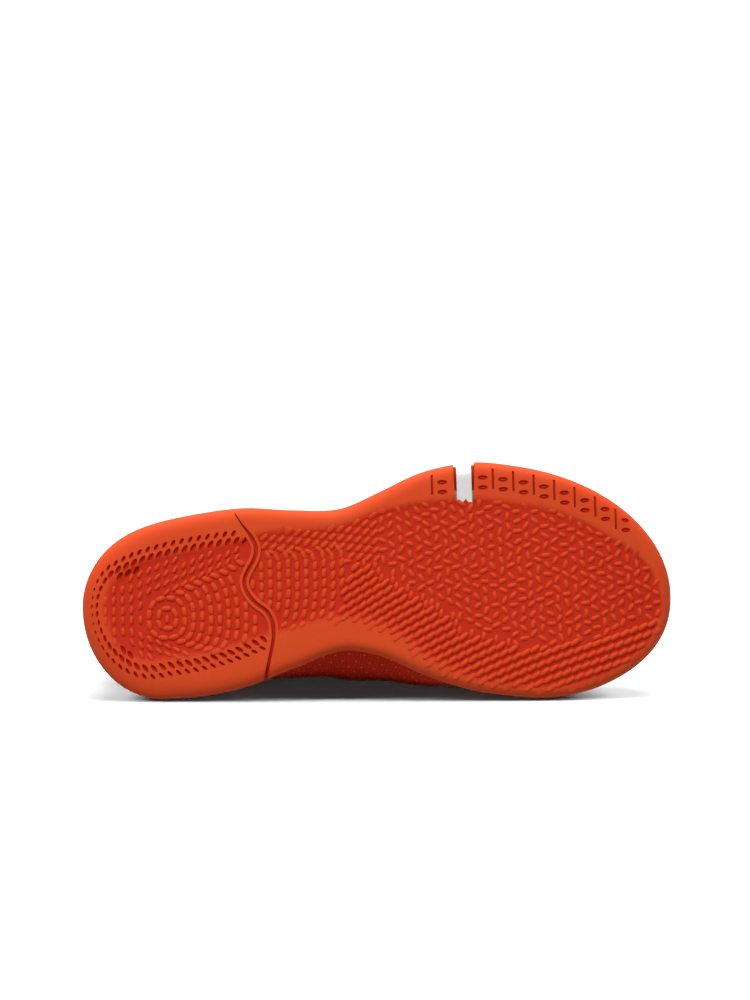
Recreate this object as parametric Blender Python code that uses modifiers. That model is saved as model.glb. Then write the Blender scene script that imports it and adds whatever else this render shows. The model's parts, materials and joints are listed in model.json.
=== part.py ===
"""Low basketball shoe for the right foot, lying on its inner side with the sole turned outwards.

The shoe is worked out standing: x runs from the heel to the toe, y towards the inner (medial) side, z up
from the ground. The perimeter of the sole is measured by a turn in degrees: 0 at the back of the heel,
180 at the toe along the outer (lateral) side, 360 back at the heel along the inner side.
An empty then lays the whole shoe down on the edge of its sole and the side of its upper.
"""
import math

import bmesh
import bpy
import numpy as np
from mathutils import Matrix

MM = 0.001  # the sizes below are millimetres, the scene's are metres

# Driving sizes
LENGTH = 298.0
GAP = 0.3
STATIONS = 80

# Bottom of the sole: flat under heel and ball, raised under the arch, rounded up at both ends
HEEL_ROUND_SPAN = 36.0
HEEL_ROUND_RISE = 6.5
ARCH_START = 88.0
ARCH_END = 168.0
ARCH_RISE = 3.5
TOE_SPRING_SPAN = 70.0
TOE_SPRING_RISE = 15.0

# Rubber cup
FIELD_DEPTH = 1.0
FIELD_SLOPE = 0.5
FIELD_COLUMNS = 4
CUP_FLOOR = 5.5
CUP_FLOOR_COLUMNS = 3
CUP_RIM = 3.0
RIM_ROUND = 0.8

# Side of the rubber: shares of the corner's width and of the rise over it,
# then shares of the lean and height
SIDE_RISE = 9.0
CORNER_STEPS = ((1.0, 0.0), (0.52, 0.13), (0.2, 0.38), (0.0, 0.8))
SIDE_LOW_LEAN = 0.12
SIDE_LOW_GROUND = 0.7
SIDE_LOW_RISE = 0.72
SIDE_LOW_TOP = 0.25
SIDE_HIGH_LEAN = 0.62
SIDE_HIGH_TOP = 0.8

# Filled form of the rubber's outside that limits the cuts: its top and the share of the ground line in it
FORM_TOP = 26.0
FORM_TOP_GROUND = 0.3
FORM_COLUMNS = 2
CUTTER_BOTTOM = -8.0

# Curved groove across the rubber
GROOVE_WIDTH = 1.7
GROOVE_DEPTH = 2.0
GROOVE_TOP = 11.0
GROOVE_STEPS = 30
GROOVE_REACH = 0.2

# Slot in the outer flange, and the foam tab that fills it
SLOT_X = 194.5
SLOT_WIDTH = 9.2
SLOT_LENGTH = 19.5
SLOT_BEYOND = 12.0
SLOT_TOP = 12.2
TAB_SIDE_GAP = 0.8
TAB_SINK = 1.6

# Slits and paired dimples along the outer flange
FLANGE_START = 178.6
FLANGE_PITCH = 10.35
FLANGE_BELOW = 4.0
SLIT_PLACES = (0, 3, 4, 5, 6, 7, 8, 9)
DIMPLE_PLACES = (0, 2, 3, 4, 5, 6, 7, 8, 9)
SLIT_WIDTH = 1.1
SLIT_DEPTH = 1.6
SLIT_INNER = 12.0
SLIT_OUTER = 3.2
DIMPLE_LENGTH = 5.0
DIMPLE_WIDTH = 2.3
DIMPLE_DEPTH = 1.2
DIMPLE_INSETS = (7.2, 12.2)
DIMPLE_TOE_STEP = 2.4
DIMPLE_TOE_RUN = (245.0, 277.0)
DIMPLE_SIDES = 10

# Foam core and footbed
INSOLE_THICKNESS = 4.0
INSOLE_CLEARANCE = 0.5
INSOLE_EDGE = 1.2

# Upper
WALL = 2.2
COLLAR_PADDING = 3.2
COLLAR_PADDING_DEPTH = 24.0
STAY_STEP = 0.9
STAY_WIDTH = 17.0
STAY_EDGE = 1.0
STAY_TURN = 86.0
STAY_BLEND = 7.0
PADDING_TURN = 62.0
PADDING_BLEND = 16.0
COLLAR_BANDS = (0.0, 6.0, 11.5)
RIB_ROWS = 7
RIB_STRETCH = 1.12
RIB_OUT = 10.0
RIM_STEP = 0.5

# Tongue
TONGUE_CLEARANCES = (1.7, 0.45)
TONGUE_THICKNESS = 4.0
TONGUE_UNDERLAP = 9.0
TONGUE_TOP_UNDERLAP = 0.3
TONGUE_UNDERLAP_TURNS = (90.0, 106.0)
TONGUE_SHARES = (91.0, 150.0)
TONGUE_ROWS = 10
TONGUE_COLUMNS = 6
TONGUE_TOP_ROWS = 5
TONGUE_TOP_RUN = 6.4
TONGUE_TOP_SLOPES = (20.0, 64.0)
TONGUE_TAPER = 0.94
TONGUE_FLATTEN = 0.78
TONGUE_FRONT_ROWS = 2
TONGUE_FRONT_STEP = (6.0, 0.0, -2.0)

# Lace
LACE_WIDTH = 7.0
LACE_THICKNESS = 1.3
LACE_LIFT = 0.8
LACE_RIDE = 0.5
EYELET_INSET = 8.0
LACE_END = 2.4
EYELET_TURNS = (91.0, 99.0, 107.0, 116.0, 127.0, 141.0)
LACE_STEPS = 12
WELD_REACH = 0.02

# Lying down: the search for the rest stays within these angles
LYING_ROLL_LIMIT = math.radians(45.0)
LYING_YAW_LIMIT = math.radians(15.0)


class Table:
    """Rows of sizes under named columns, read along a smooth curve through the rows."""

    def __init__(self, columns, *rows):
        self.sizes = dict(zip(columns, np.array(rows, dtype=float).T))
        self.knots = self.sizes[columns[0]]

    def at(self, column, where):
        sizes = self.sizes[column]
        slopes = np.gradient(sizes, self.knots)
        last = len(self.knots) - 2
        i = int(np.clip(np.searchsorted(self.knots, where) - 1, 0, last))
        step = self.knots[i + 1] - self.knots[i]
        t = float(np.clip((where - self.knots[i]) / step, 0.0, 1.0))
        rise = sizes[i + 1] - sizes[i]
        bend_in = slopes[i] * step - rise
        bend_out = rise - slopes[i + 1] * step
        return sizes[i] + t * rise + t * (1 - t) * ((1 - t) * bend_in + t * bend_out)


# Half widths of the sole at its widest, before the ends are rounded
OUTLINE = Table(
    ("x", "lateral", "medial"),
    (0, 44.0, 46.6),
    (45, 44.0, 46.6),
    (60, 46.4, 45.9),
    (82, 48.6, 41.8),
    (108, 47.0, 32.4),
    (133, 47.6, 24.6),
    (152, 55.2, 28.7),
    (172, 63.9, 38.2),
    (195, 68.4, 46.3),
    (222, 68.4, 50.6),
    (LENGTH, 68.4, 50.6),
)
END_ROUNDING = {
    "lateral": {"heel": 50.0, "toe": 103.0, "power": 2.0},
    "medial": {"heel": 41.0, "toe": 76.0, "power": 2.2},
}

# Edge of the rubber round the perimeter: border of the tread field, rounded corner,
# lean and height of the side
EDGE = Table(
    ("turn", "border", "corner", "lean", "top"),
    (0, 11.5, 10.0, 5.0, 36.0),
    (25, 15.0, 10.0, 5.5, 34.0),
    (50, 17.0, 8.0, 7.0, 31.0),
    (75, 10.4, 7.0, 4.5, 30.0),
    (92, 10.4, 7.0, 6.0, 29.0),
    (110, 16.6, 6.0, 11.0, 27.0),
    (132, 16.6, 6.0, 9.0, 26.0),
    (155, 13.0, 6.0, 5.5, 28.0),
    (180, 7.5, 6.0, 4.0, 31.0),
    (205, 7.0, 6.0, 4.0, 28.0),
    (235, 6.5, 5.5, 5.0, 26.0),
    (256, 7.0, 6.0, 4.5, 27.5),
    (276, 14.6, 8.0, 2.6, 31.0),
    (295, 19.5, 8.0, 4.5, 32.5),
    (325, 16.5, 10.0, 7.5, 34.0),
    (360, 11.5, 10.0, 5.0, 36.0),
)

# Height of the foam's top over the ground line
FOAM = Table(
    ("x", "thickness"),
    (0, 20.0),
    (70, 20.0),
    (140, 17.0),
    (205, 13.0),
    (LENGTH, 11.5),
)

# Curved groove: where it runs along the shoe, at places across it from the outer to the inner edge
GROOVE = Table(
    ("y", "x"),
    (-45.4, 78.6),
    (-40, 81.9),
    (-34, 86.2),
    (-27, 88.9),
    (-22, 87.8),
    (-17, 84.9),
    (-11, 82.6),
    (-6, 83.6),
    (0, 87.9),
    (4, 93.0),
    (9, 95.9),
    (15.5, 96.7),
    (24, 95.4),
    (31, 93.7),
    (52, 88.5),
)

# Top edge of the upper: collar from the heel to the top eyelet, then down the throat to its front
TOPLINE = Table(
    ("turn", "x", "lateral", "medial", "z"),
    (0, 8.5, 0.0, 0.0, 88.0),
    (24, 15.0, 17.5, 17.5, 85.5),
    (44, 39.0, 29.5, 29.0, 75.5),
    (60, 69.0, 32.5, 31.5, 70.0),
    (74, 96.0, 30.5, 31.0, 79.0),
    (84, 113.0, 25.5, 27.0, 90.5),
    (98, 142.0, 20.5, 23.5, 84.0),
    (114, 176.0, 17.0, 20.5, 73.5),
    (130, 202.0, 14.0, 17.0, 66.5),
    (150, 216.0, 8.5, 10.5, 63.2),
    (180, 220.5, -1.0, 1.0, 62.0),
)

# Ribs of the upper: pull out and up from the rim of the sole, pull out and down from the top edge
RIBS = Table(
    ("turn", "low_lateral", "low_medial", "low_up", "top_lateral", "top_medial", "top_down"),
    (0, 7.0, 7.0, 18.0, 4.0, 4.0, 22.0),
    (24, 6.5, 6.5, 16.0, 4.0, 4.0, 18.0),
    (44, 5.0, 4.0, 14.0, 3.5, 3.5, 14.0),
    (60, 4.5, 4.5, 13.0, 4.0, 4.0, 12.0),
    (74, 4.0, 16.5, 15.0, 8.0, 8.5, 18.0),
    (84, 3.5, 34.5, 17.0, 13.0, 16.5, 17.0),
    (98, 3.0, 23.3, 18.5, 17.0, 19.5, 13.0),
    (114, 3.0, 6.0, 20.0, 21.0, 20.0, 9.0),
    (130, 3.5, 4.0, 20.0, 26.0, 24.0, 6.5),
    (150, 4.5, 4.5, 20.5, 33.0, 31.0, 4.5),
    (180, 5.0, 5.0, 21.0, 42.0, 42.0, 3.5),
)


def arc_rise(distance, span, height):
    """Height of a circular arc that leaves the level and reaches the given height over the span."""
    if distance <= 0.0:
        return 0.0
    radius = (span * span + height * height) / (2.0 * height)
    return radius - math.sqrt(radius * radius - min(distance, span) ** 2)


def ground(x):
    """Height of the sole's bottom line over the floor."""
    height = arc_rise(HEEL_ROUND_SPAN - x, HEEL_ROUND_SPAN, HEEL_ROUND_RISE)
    height += arc_rise(x - LENGTH + TOE_SPRING_SPAN, TOE_SPRING_SPAN, TOE_SPRING_RISE)
    if ARCH_START < x < ARCH_END:
        height += ARCH_RISE * math.sin(math.pi * (x - ARCH_START) / (ARCH_END - ARCH_START)) ** 2
    return height


def half_width(x, side):
    """Half width of the sole on one side, with its rounded ends."""
    rounding = END_ROUNDING[side]
    heel = max(0.0, 1.0 - x / rounding["heel"])
    toe = max(0.0, 1.0 - (LENGTH - x) / rounding["toe"])
    power = rounding["power"]
    heel_share = math.sqrt(max(0.0, 1.0 - heel * heel))
    toe_share = max(0.0, 1.0 - toe ** power) ** (1.0 / power)
    return OUTLINE.at(side, x) * heel_share * toe_share


def outline(turn):
    """Point of the sole's outline in plan."""
    turn = turn % 360.0
    x = LENGTH / 2.0 * (1.0 - math.cos(math.radians(turn)))
    if turn <= 180.0:
        return np.array((x, -half_width(x, "lateral")))
    return np.array((x, half_width(x, "medial")))


def outward(turn, reach=0.5):
    """Direction straight out from the outline in plan."""
    run = outline(turn + reach) - outline(turn - reach)
    return np.array((run[1], -run[0])) / np.linalg.norm(run)


def inset_point(turn, inset, height):
    """Point set in from the outline, at a height."""
    x, y = outline(turn) - outward(turn) * inset
    return np.array((x, y, height))


def turns(count=STATIONS):
    return [360.0 * i / count for i in range(count)]


def ring(inset, height):
    """Closed ring of points: inset and height are read at each turn, the height at the inset point's x."""
    points = []
    for turn in turns():
        flat = inset_point(turn, inset(turn), 0.0)
        flat[2] = height(turn, flat[0])
        points.append(flat)
    return points


def edge(column):
    return lambda turn: EDGE.at(column, turn % 360.0)


def cup_inset(turn):
    """Inset of the cup's inner wall."""
    return EDGE.at("lean", turn % 360.0) + CUP_RIM


def foam_top(x):
    return ground(x) + FOAM.at("thickness", x)


class Skin:
    """Mesh put together from rings and rows of points."""

    def __init__(self):
        self.mesh = bmesh.new()

    def row(self, points):
        return [self.mesh.verts.new(np.asarray(p) * MM) for p in points]

    def strip(self, first, second, closed=True):
        count = len(first)
        for i in range(count if closed else count - 1):
            j = (i + 1) % count
            self.mesh.faces.new((first[i], first[j], second[j], second[i]))

    def across(self, border, height, columns):
        """Fill a ring with rows from its outer to its inner side, at heights read at x."""
        half = len(border) // 2
        rows = []
        for i in range(1, half):
            start, end = border[i], border[-i]
            row = [start]
            for k in range(1, columns):
                point = np.array(start.co.lerp(end.co, k / columns)) / MM
                point[2] = height(point[0])
                row.extend(self.row([point]))
            row.append(end)
            rows.append(row)
        for k in range(columns):
            self.mesh.faces.new((border[0], rows[0][k], rows[0][k + 1]))
            self.mesh.faces.new((border[half], rows[-1][k + 1], rows[-1][k]))
        for first, second in zip(rows, rows[1:]):
            self.strip(first, second, closed=False)

    def finish(self, name, collection, material=None, triangles=True):
        bmesh.ops.recalc_face_normals(self.mesh, faces=self.mesh.faces)
        if triangles:
            bmesh.ops.triangulate(self.mesh, faces=self.mesh.faces)
        data = bpy.data.meshes.new(name)
        self.mesh.to_mesh(data)
        self.mesh.free()
        thing = bpy.data.objects.new(name, data)
        collection.objects.link(thing)
        if material:
            data.materials.append(material)
        return thing


def make_material(name, colour, roughness):
    material = bpy.data.materials.new(name)
    material.use_nodes = True
    shader = material.node_tree.nodes["Principled BSDF"]
    shader.inputs["Base Color"].default_value = (*colour, 1.0)
    shader.inputs["Roughness"].default_value = roughness
    return material


def make_collection(name):
    collection = bpy.data.collections.new(name)
    bpy.context.scene.collection.children.link(collection)
    return collection


def as_cutter(thing):
    thing.hide_render = True
    thing.display_type = "WIRE"
    return thing


def combine(thing, other, operation):
    modifier = thing.modifiers.new(f"{operation.lower()} {other.name}", "BOOLEAN")
    modifier.operation = operation
    modifier.object = other
    modifier.solver = "EXACT"


def slab(name, collection, inset, bottom, top, columns=2, rounding=0.0, material=None):
    """Plate with the sole's outline set in, between two surfaces, its upper edge bevelled."""
    skin = Skin()
    low = skin.row(ring(inset, lambda turn, x: bottom(x)))
    high = skin.row(ring(inset, lambda turn, x: top(x) - rounding))
    skin.strip(low, high)
    if rounding:
        crown = skin.row(ring(lambda turn: inset(turn) + rounding, lambda turn, x: top(x)))
        skin.strip(high, crown)
        high = crown
    skin.across(low, bottom, columns)
    skin.across(high, top, columns)
    return skin.finish(name, collection, material)


def side_rings(shrink=0.0):
    """Rings of the rubber's outside, from the edge of its flat border up the side to the rim."""
    corner, lean, top = edge("corner"), edge("lean"), edge("top")

    def low_height(turn, x):
        return ground(x) * SIDE_LOW_GROUND + SIDE_RISE * SIDE_LOW_RISE + top(turn) * SIDE_LOW_TOP

    rings = []
    for share, rise in CORNER_STEPS:
        rings.append(ring(
            lambda turn, share=share: shrink + corner(turn) * share,
            lambda turn, x, rise=rise: ground(x) + shrink + SIDE_RISE * rise))
    rings.append(ring(lambda turn: shrink + lean(turn) * SIDE_LOW_LEAN, low_height))
    rings.append(ring(
        lambda turn: shrink + lean(turn) * SIDE_HIGH_LEAN,
        lambda turn, x: top(turn) * SIDE_HIGH_TOP))
    rings.append(ring(lambda turn: shrink + lean(turn), lambda turn, x: top(turn) - RIM_ROUND))
    return rings


def build_outsole(collection, material):
    border, lean, top = edge("border"), edge("lean"), edge("top")
    skin = Skin()
    field = skin.row(ring(lambda turn: border(turn) + FIELD_SLOPE, lambda turn, x: ground(x) + FIELD_DEPTH))
    skin.across(field, lambda x: ground(x) + FIELD_DEPTH, FIELD_COLUMNS)
    rows = [field, skin.row(ring(border, lambda turn, x: ground(x)))]
    rows.extend(skin.row(points) for points in side_rings())
    rows.append(skin.row(ring(lambda turn: lean(turn) + RIM_ROUND, lambda turn, x: top(turn))))
    rows.append(skin.row(ring(cup_inset, lambda turn, x: top(turn))))
    floor = skin.row(ring(cup_inset, lambda turn, x: ground(x) + CUP_FLOOR))
    rows.append(floor)
    for first, second in zip(rows, rows[1:]):
        skin.strip(first, second)
    skin.across(floor, lambda x: ground(x) + CUP_FLOOR, CUP_FLOOR_COLUMNS)
    return skin.finish("outsole", collection, material)


def solid_form(name, collection, shrink):
    """Outside of the rubber as a filled body, shrunk by a depth."""
    skin = Skin()
    rows = [skin.row(points) for points in side_rings(shrink)]
    for first, second in zip(rows, rows[1:]):
        skin.strip(first, second)
    skin.across(rows[0], lambda x: ground(x) + shrink, FORM_COLUMNS)
    skin.across(rows[-1], lambda x: FORM_TOP + ground(x) * FORM_TOP_GROUND, FORM_COLUMNS)
    return as_cutter(skin.finish(name, collection))


def prism(name, collection, plan, low, high):
    """Upright prism over a closed plan."""
    skin = Skin()
    floor = skin.row([(x, y, low) for x, y in plan])
    roof = skin.row([(x, y, high) for x, y in plan])
    skin.strip(floor, roof)
    skin.mesh.faces.new(floor)
    skin.mesh.faces.new(roof)
    return as_cutter(skin.finish(name, collection))


def groove_cutter(collection):
    """Wall along the curved groove, hollowed so that it only bites to the groove's depth."""
    left, right = [], []
    for y in np.linspace(GROOVE.knots[0], GROOVE.knots[-1], GROOVE_STEPS + 1):
        middle = np.array((GROOVE.at("x", y), y))
        sweep = GROOVE.at("x", y + GROOVE_REACH) - GROOVE.at("x", y - GROOVE_REACH)
        across = np.array((2.0 * GROOVE_REACH, -sweep))
        across *= GROOVE_WIDTH / 2.0 / np.linalg.norm(across)
        left.append(middle + across)
        right.append(middle - across)
    wall = prism("groove_cutter", collection, left + right[::-1], CUTTER_BOTTOM, GROOVE_TOP)
    combine(wall, solid_form("groove_core", collection, GROOVE_DEPTH), "DIFFERENCE")
    return wall


def slot_plan(side_gap=0.0, end_gap=0.0):
    """Rectangle of the slot, or of a tab that stands off its sides and its inner end."""
    outer = outline(turn_at(SLOT_X, "lateral"))[1]
    half = SLOT_WIDTH / 2.0 - side_gap
    low, high = SLOT_X - half, SLOT_X + half
    inner, beyond = outer + SLOT_LENGTH - end_gap, outer - SLOT_BEYOND
    return [(low, beyond), (high, beyond), (high, inner), (low, inner)]


def turn_at(x, side):
    turn = math.degrees(math.acos(1.0 - 2.0 * x / LENGTH))
    return turn if side == "lateral" else 360.0 - turn


def flange_cutters(collection):
    """Slits and pairs of dimples in the border of the outer flange, joined as one cutter."""
    skin = Skin()

    def sink(plan, x, depth):
        low = skin.row([(px, py, ground(x) - FLANGE_BELOW) for px, py in plan])
        high = skin.row([(px, py, ground(x) + depth) for px, py in plan])
        skin.strip(low, high)
        skin.mesh.faces.new(low)
        skin.mesh.faces.new(high)

    for place in SLIT_PLACES:
        x = FLANGE_START + FLANGE_PITCH * place
        rim = -half_width(x, "lateral")
        low, high = x - SLIT_WIDTH / 2.0, x + SLIT_WIDTH / 2.0
        outer, inner = rim + SLIT_OUTER, rim + SLIT_INNER
        sink([(low, outer), (high, outer), (high, inner), (low, inner)], x, SLIT_DEPTH)
    for place in DIMPLE_PLACES:
        x = FLANGE_START + FLANGE_PITCH * (place + 0.5)
        step = float(np.interp(x, DIMPLE_TOE_RUN, (0.0, DIMPLE_TOE_STEP)))
        for inset in DIMPLE_INSETS:
            y = inset - step - half_width(x, "lateral")
            plan = []
            for i in range(DIMPLE_SIDES):
                angle = 2.0 * math.pi * i / DIMPLE_SIDES
                along, across = DIMPLE_LENGTH * math.cos(angle), DIMPLE_WIDTH * math.sin(angle)
                plan.append((x + along / 2.0, y + across / 2.0))
            sink(plan, x, DIMPLE_DEPTH)
    return as_cutter(skin.finish("flange_cutter", collection))


def topline(turn):
    """Point of the upper's top edge."""
    side = "lateral" if turn <= 180.0 else "medial"
    share = min(turn, 360.0 - turn)
    sign = -1.0 if side == "lateral" else 1.0
    return np.array((TOPLINE.at("x", share), sign * TOPLINE.at(side, share), TOPLINE.at("z", share)))


def rib(turn):
    """Four control points of the upper's rib from the rim of the sole to the top edge."""
    turn = turn % 360.0
    share = min(turn, 360.0 - turn)
    side = "lateral" if turn <= 180.0 else "medial"
    foot = inset_point(turn, cup_inset(turn) + GAP, EDGE.at("top", turn) + RIM_STEP)
    head = topline(turn)
    out = np.append(outward(turn), 0.0)
    away = (foot - head) * (1.0, 1.0, 0.0) + out * RIB_OUT
    away /= np.linalg.norm(away)
    up = np.array((0.0, 0.0, 1.0))
    low_pull = foot + out * RIBS.at("low_" + side, share) + up * RIBS.at("low_up", share)
    top_pull = head + away * RIBS.at("top_" + side, share) - up * RIBS.at("top_down", share)
    return foot, low_pull, top_pull, head


def upper_point(turn, below):
    """Point of the upper's outside a distance below its top edge, measured along the rib's chord."""
    foot, low_pull, top_pull, head = rib(turn)
    t = 1.0 - below / (np.linalg.norm(head - foot) * RIB_STRETCH)
    s = 1.0 - t
    return foot * s ** 3 + low_pull * 3 * s * s * t + top_pull * 3 * s * t * t + head * t ** 3


def upper_normal(turn, below, reach=0.6):
    around = upper_point(turn + reach, below) - upper_point(turn - reach, below)
    upward = upper_point(turn, below) - upper_point(turn, below + reach)
    normal = np.cross(around, upward)
    return normal / np.linalg.norm(normal)


def stay_share(turn):
    """How far the lace stay's step is present: full along the throat, gone at the collar."""
    turn = min(turn % 360.0, 360.0 - turn % 360.0)
    return float(np.clip((turn - STAY_TURN + STAY_BLEND) / STAY_BLEND, 0.0, 1.0))


def padding_share(turn):
    """How far the collar's padding is present: full round the ankle, gone at the lace stay."""
    turn = min(turn % 360.0, 360.0 - turn % 360.0)
    return float(np.clip((PADDING_TURN + PADDING_BLEND - turn) / PADDING_BLEND, 0.0, 1.0))


def build_upper(collection, material):
    """Open shell from the margin of the foam to the top edge, its wall added by a solidify step."""
    bands = (*COLLAR_BANDS, STAY_WIDTH, STAY_WIDTH + STAY_EDGE)
    skin = Skin()
    columns, walls = [], []
    for turn in turns():
        foot, _, _, head = rib(turn)
        reach = np.linalg.norm(head - foot) * RIB_STRETCH
        seat = foot.copy()
        seat[2] = foam_top(foot[0]) + GAP
        depths = list(bands)
        depths += [bands[-1] + (reach - bands[-1]) * i / RIB_ROWS for i in range(1, RIB_ROWS + 1)]
        points, wall = [], []
        for depth in depths:
            raised = STAY_STEP * stay_share(turn) * (depth <= STAY_WIDTH)
            point = upper_point(turn, depth)
            if raised:
                point = point + upper_normal(turn, depth) * raised
            padding = COLLAR_PADDING * padding_share(turn) * max(0.0, 1.0 - depth / COLLAR_PADDING_DEPTH)
            points.append(point)
            wall.append(WALL + raised + padding)
        points.append(seat)
        wall.append(WALL)
        columns.append(skin.row(points))
        walls.append(wall)
    for first, second in zip(columns, columns[1:] + columns[:1]):
        skin.strip(first, second, closed=False)
    skin.mesh.verts.index_update()
    thing = skin.finish("upper", collection, material, triangles=False)
    thickest = max(max(wall) for wall in walls)
    group = thing.vertex_groups.new(name="wall")
    for index, thickness in enumerate(t for wall in walls for t in wall):
        group.add([index], thickness / thickest, "REPLACE")
    solid = thing.modifiers.new("wall", "SOLIDIFY")
    solid.thickness = thickest * MM
    solid.offset = -1.0
    solid.vertex_group = "wall"
    return thing


def bridge(start, end, share):
    """Point and normal of the form that closes the throat, between its edges at two turns."""
    brinks, leads, normals = [], [], []
    for turn in (start, end):
        _, _, pull, head = rib(turn)
        brinks.append(head)
        leads.append((head - pull) / np.linalg.norm(head - pull))
        normals.append(upper_normal(turn, 1.0))
    reach = np.linalg.norm(brinks[1] - brinks[0]) / 3.0
    t, s = share, 1.0 - share
    low, high = brinks[0] + leads[0] * reach, brinks[1] + leads[1] * reach
    point = brinks[0] * s ** 3 + low * 3 * s * s * t + high * 3 * s * t * t + brinks[1] * t ** 3
    normal = normals[0] * s + normals[1] * t
    return point, normal / np.linalg.norm(normal)


def tongue_row(share):
    """Points across the tongue's top side, from under one lace stay to under the other."""
    drop = WALL + float(np.interp(share, TONGUE_SHARES, TONGUE_CLEARANCES))
    underlap = TONGUE_UNDERLAP * float(np.interp(share, TONGUE_UNDERLAP_TURNS, (TONGUE_TOP_UNDERLAP, 1.0)))
    row = []
    for below in (underlap, underlap / 2.0):
        row.append(upper_point(share, below) - upper_normal(share, below) * drop)
    for i in range(TONGUE_COLUMNS + 1):
        point, normal = bridge(share, 360.0 - share, i / TONGUE_COLUMNS)
        row.append(point - normal * drop)
    for below in (underlap / 2.0, underlap):
        row.append(upper_point(360.0 - share, below) - upper_normal(360.0 - share, below) * drop)
    return np.array(row)


def build_tongue(collection, material):
    """Padded plate under the throat, carried on under the vamp in front and past the top eyelets."""
    shares = np.linspace(TONGUE_SHARES[0], TONGUE_SHARES[1], TONGUE_ROWS)
    sections = [tongue_row(share) for share in shares]
    for slope in np.radians(np.linspace(*TONGUE_TOP_SLOPES, TONGUE_TOP_ROWS)):
        last = sections[0]
        crown = last[len(last) // 2]
        step = TONGUE_TOP_RUN * np.array((-math.cos(slope), 0.0, math.sin(slope)))
        sections.insert(0, crown + step + (last - crown) * (1.0, TONGUE_TAPER, TONGUE_FLATTEN))
    for _ in range(TONGUE_FRONT_ROWS):
        sections.append(sections[-1] + np.array(TONGUE_FRONT_STEP))
    skin = Skin()
    rows = [skin.row(section) for section in sections]
    for first, second in zip(rows, rows[1:]):
        skin.strip(first, second, closed=False)
    thing = skin.finish("tongue", collection, material, triangles=False)
    if thing.data.polygons[0].normal.z < 0.0:
        thing.data.flip_normals()
    solid = thing.modifiers.new("thickness", "SOLIDIFY")
    solid.thickness = TONGUE_THICKNESS * MM
    solid.offset = -1.0
    return thing


def throat_point(share, across):
    """Point and normal over the throat: -1 and 1 are its edges, further out lies the lace stay."""
    if abs(across) <= 1.0:
        return bridge(share, 360.0 - share, (across + 1.0) / 2.0)
    turn = share if across < 0.0 else 360.0 - share
    below = (abs(across) - 1.0) * STAY_WIDTH
    return upper_point(turn, below), upper_normal(turn, below)


def lace_leg(name, collection, start, end, ride, material=None):
    """Flat strip from an outer eyelet over the tongue to an inner eyelet, riding over its neighbours."""
    lift = STAY_STEP + LACE_LIFT + LACE_THICKNESS / 2.0 + ride
    reach = 1.0 + (EYELET_INSET + LACE_END) / STAY_WIDTH
    places = []
    for t in np.linspace(0.0, 1.0, LACE_STEPS + 1):
        places.append(throat_point(start + (end - start) * t, reach * (2.0 * t - 1.0)))
    points = np.array([point + normal * lift for point, normal in places])
    runs = np.gradient(points, axis=0)
    skin = Skin()
    rows = []
    for point, run, (_, normal) in zip(points, runs, places):
        side = np.cross(run, normal)
        side *= LACE_WIDTH / 2.0 / np.linalg.norm(side)
        thick = normal * LACE_THICKNESS / 2.0
        left, right = point + side, point - side
        rows.append(skin.row([left + thick, right + thick, right - thick, left - thick]))
    for first, second in zip(rows, rows[1:]):
        skin.strip(first, second)
    skin.mesh.faces.new(rows[0])
    skin.mesh.faces.new(rows[-1])
    return skin.finish(name, collection, material)


def build_lace(collection, cutters, material):
    """Crossings between neighbouring eyelets and one bar at the front, joined into one strip."""
    front = EYELET_TURNS[-1]
    lace = lace_leg("lace", collection, front, front, LACE_RIDE / 2.0, material)
    for i, (high, low) in enumerate(zip(EYELET_TURNS, EYELET_TURNS[1:])):
        outer = lace_leg(f"lace_outer_{i + 1}", cutters, high, low, 0.0)
        inner = lace_leg(f"lace_inner_{i + 1}", cutters, low, high, LACE_RIDE)
        combine(lace, as_cutter(outer), "UNION")
        combine(lace, as_cutter(inner), "UNION")
    weld = lace.modifiers.new("weld", "WELD")
    weld.merge_threshold = WELD_REACH * MM
    return lace


def mesh_points(thing):
    shape = thing.evaluated_get(bpy.context.evaluated_depsgraph_get())
    data = shape.to_mesh()
    points = np.array([v.co for v in data.vertices])
    shape.to_mesh_clear()
    return points


def settle(low, high, excess, rounds=40):
    """Angle between two limits where a growing excess passes zero."""
    for _ in range(rounds):
        middle = (low + high) / 2.0
        if excess(middle) > 0.0:
            high = middle
        else:
            low = middle
    return (low + high) / 2.0


def lying_turn(sole, upper):
    """Rotation that lays the shoe on the heel and ball of its sole's inner edge and on its upper."""
    half = LENGTH * MM / 2.0
    heel, ball = sole[sole[:, 0] < half], sole[sole[:, 0] > half]

    def downward(roll, yaw):
        level = math.cos(roll)
        return np.array((math.sin(yaw) * level, math.cos(yaw) * level, math.sin(roll)))

    def level_yaw(roll):
        def excess(yaw):
            down = downward(roll, yaw)
            return (ball @ down).max() - (heel @ down).max()
        return settle(-LYING_YAW_LIMIT, LYING_YAW_LIMIT, excess)

    def upper_excess(roll):
        down = downward(roll, level_yaw(roll))
        return (upper @ down).max() - (sole @ down).max()

    roll = settle(0.0, LYING_ROLL_LIMIT, upper_excess)
    down = downward(roll, level_yaw(roll))
    forward = np.array((1.0, 0.0, 0.0)) - down * down[0]
    forward /= np.linalg.norm(forward)
    return Matrix((forward, np.cross(-down, forward), -down))


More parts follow.
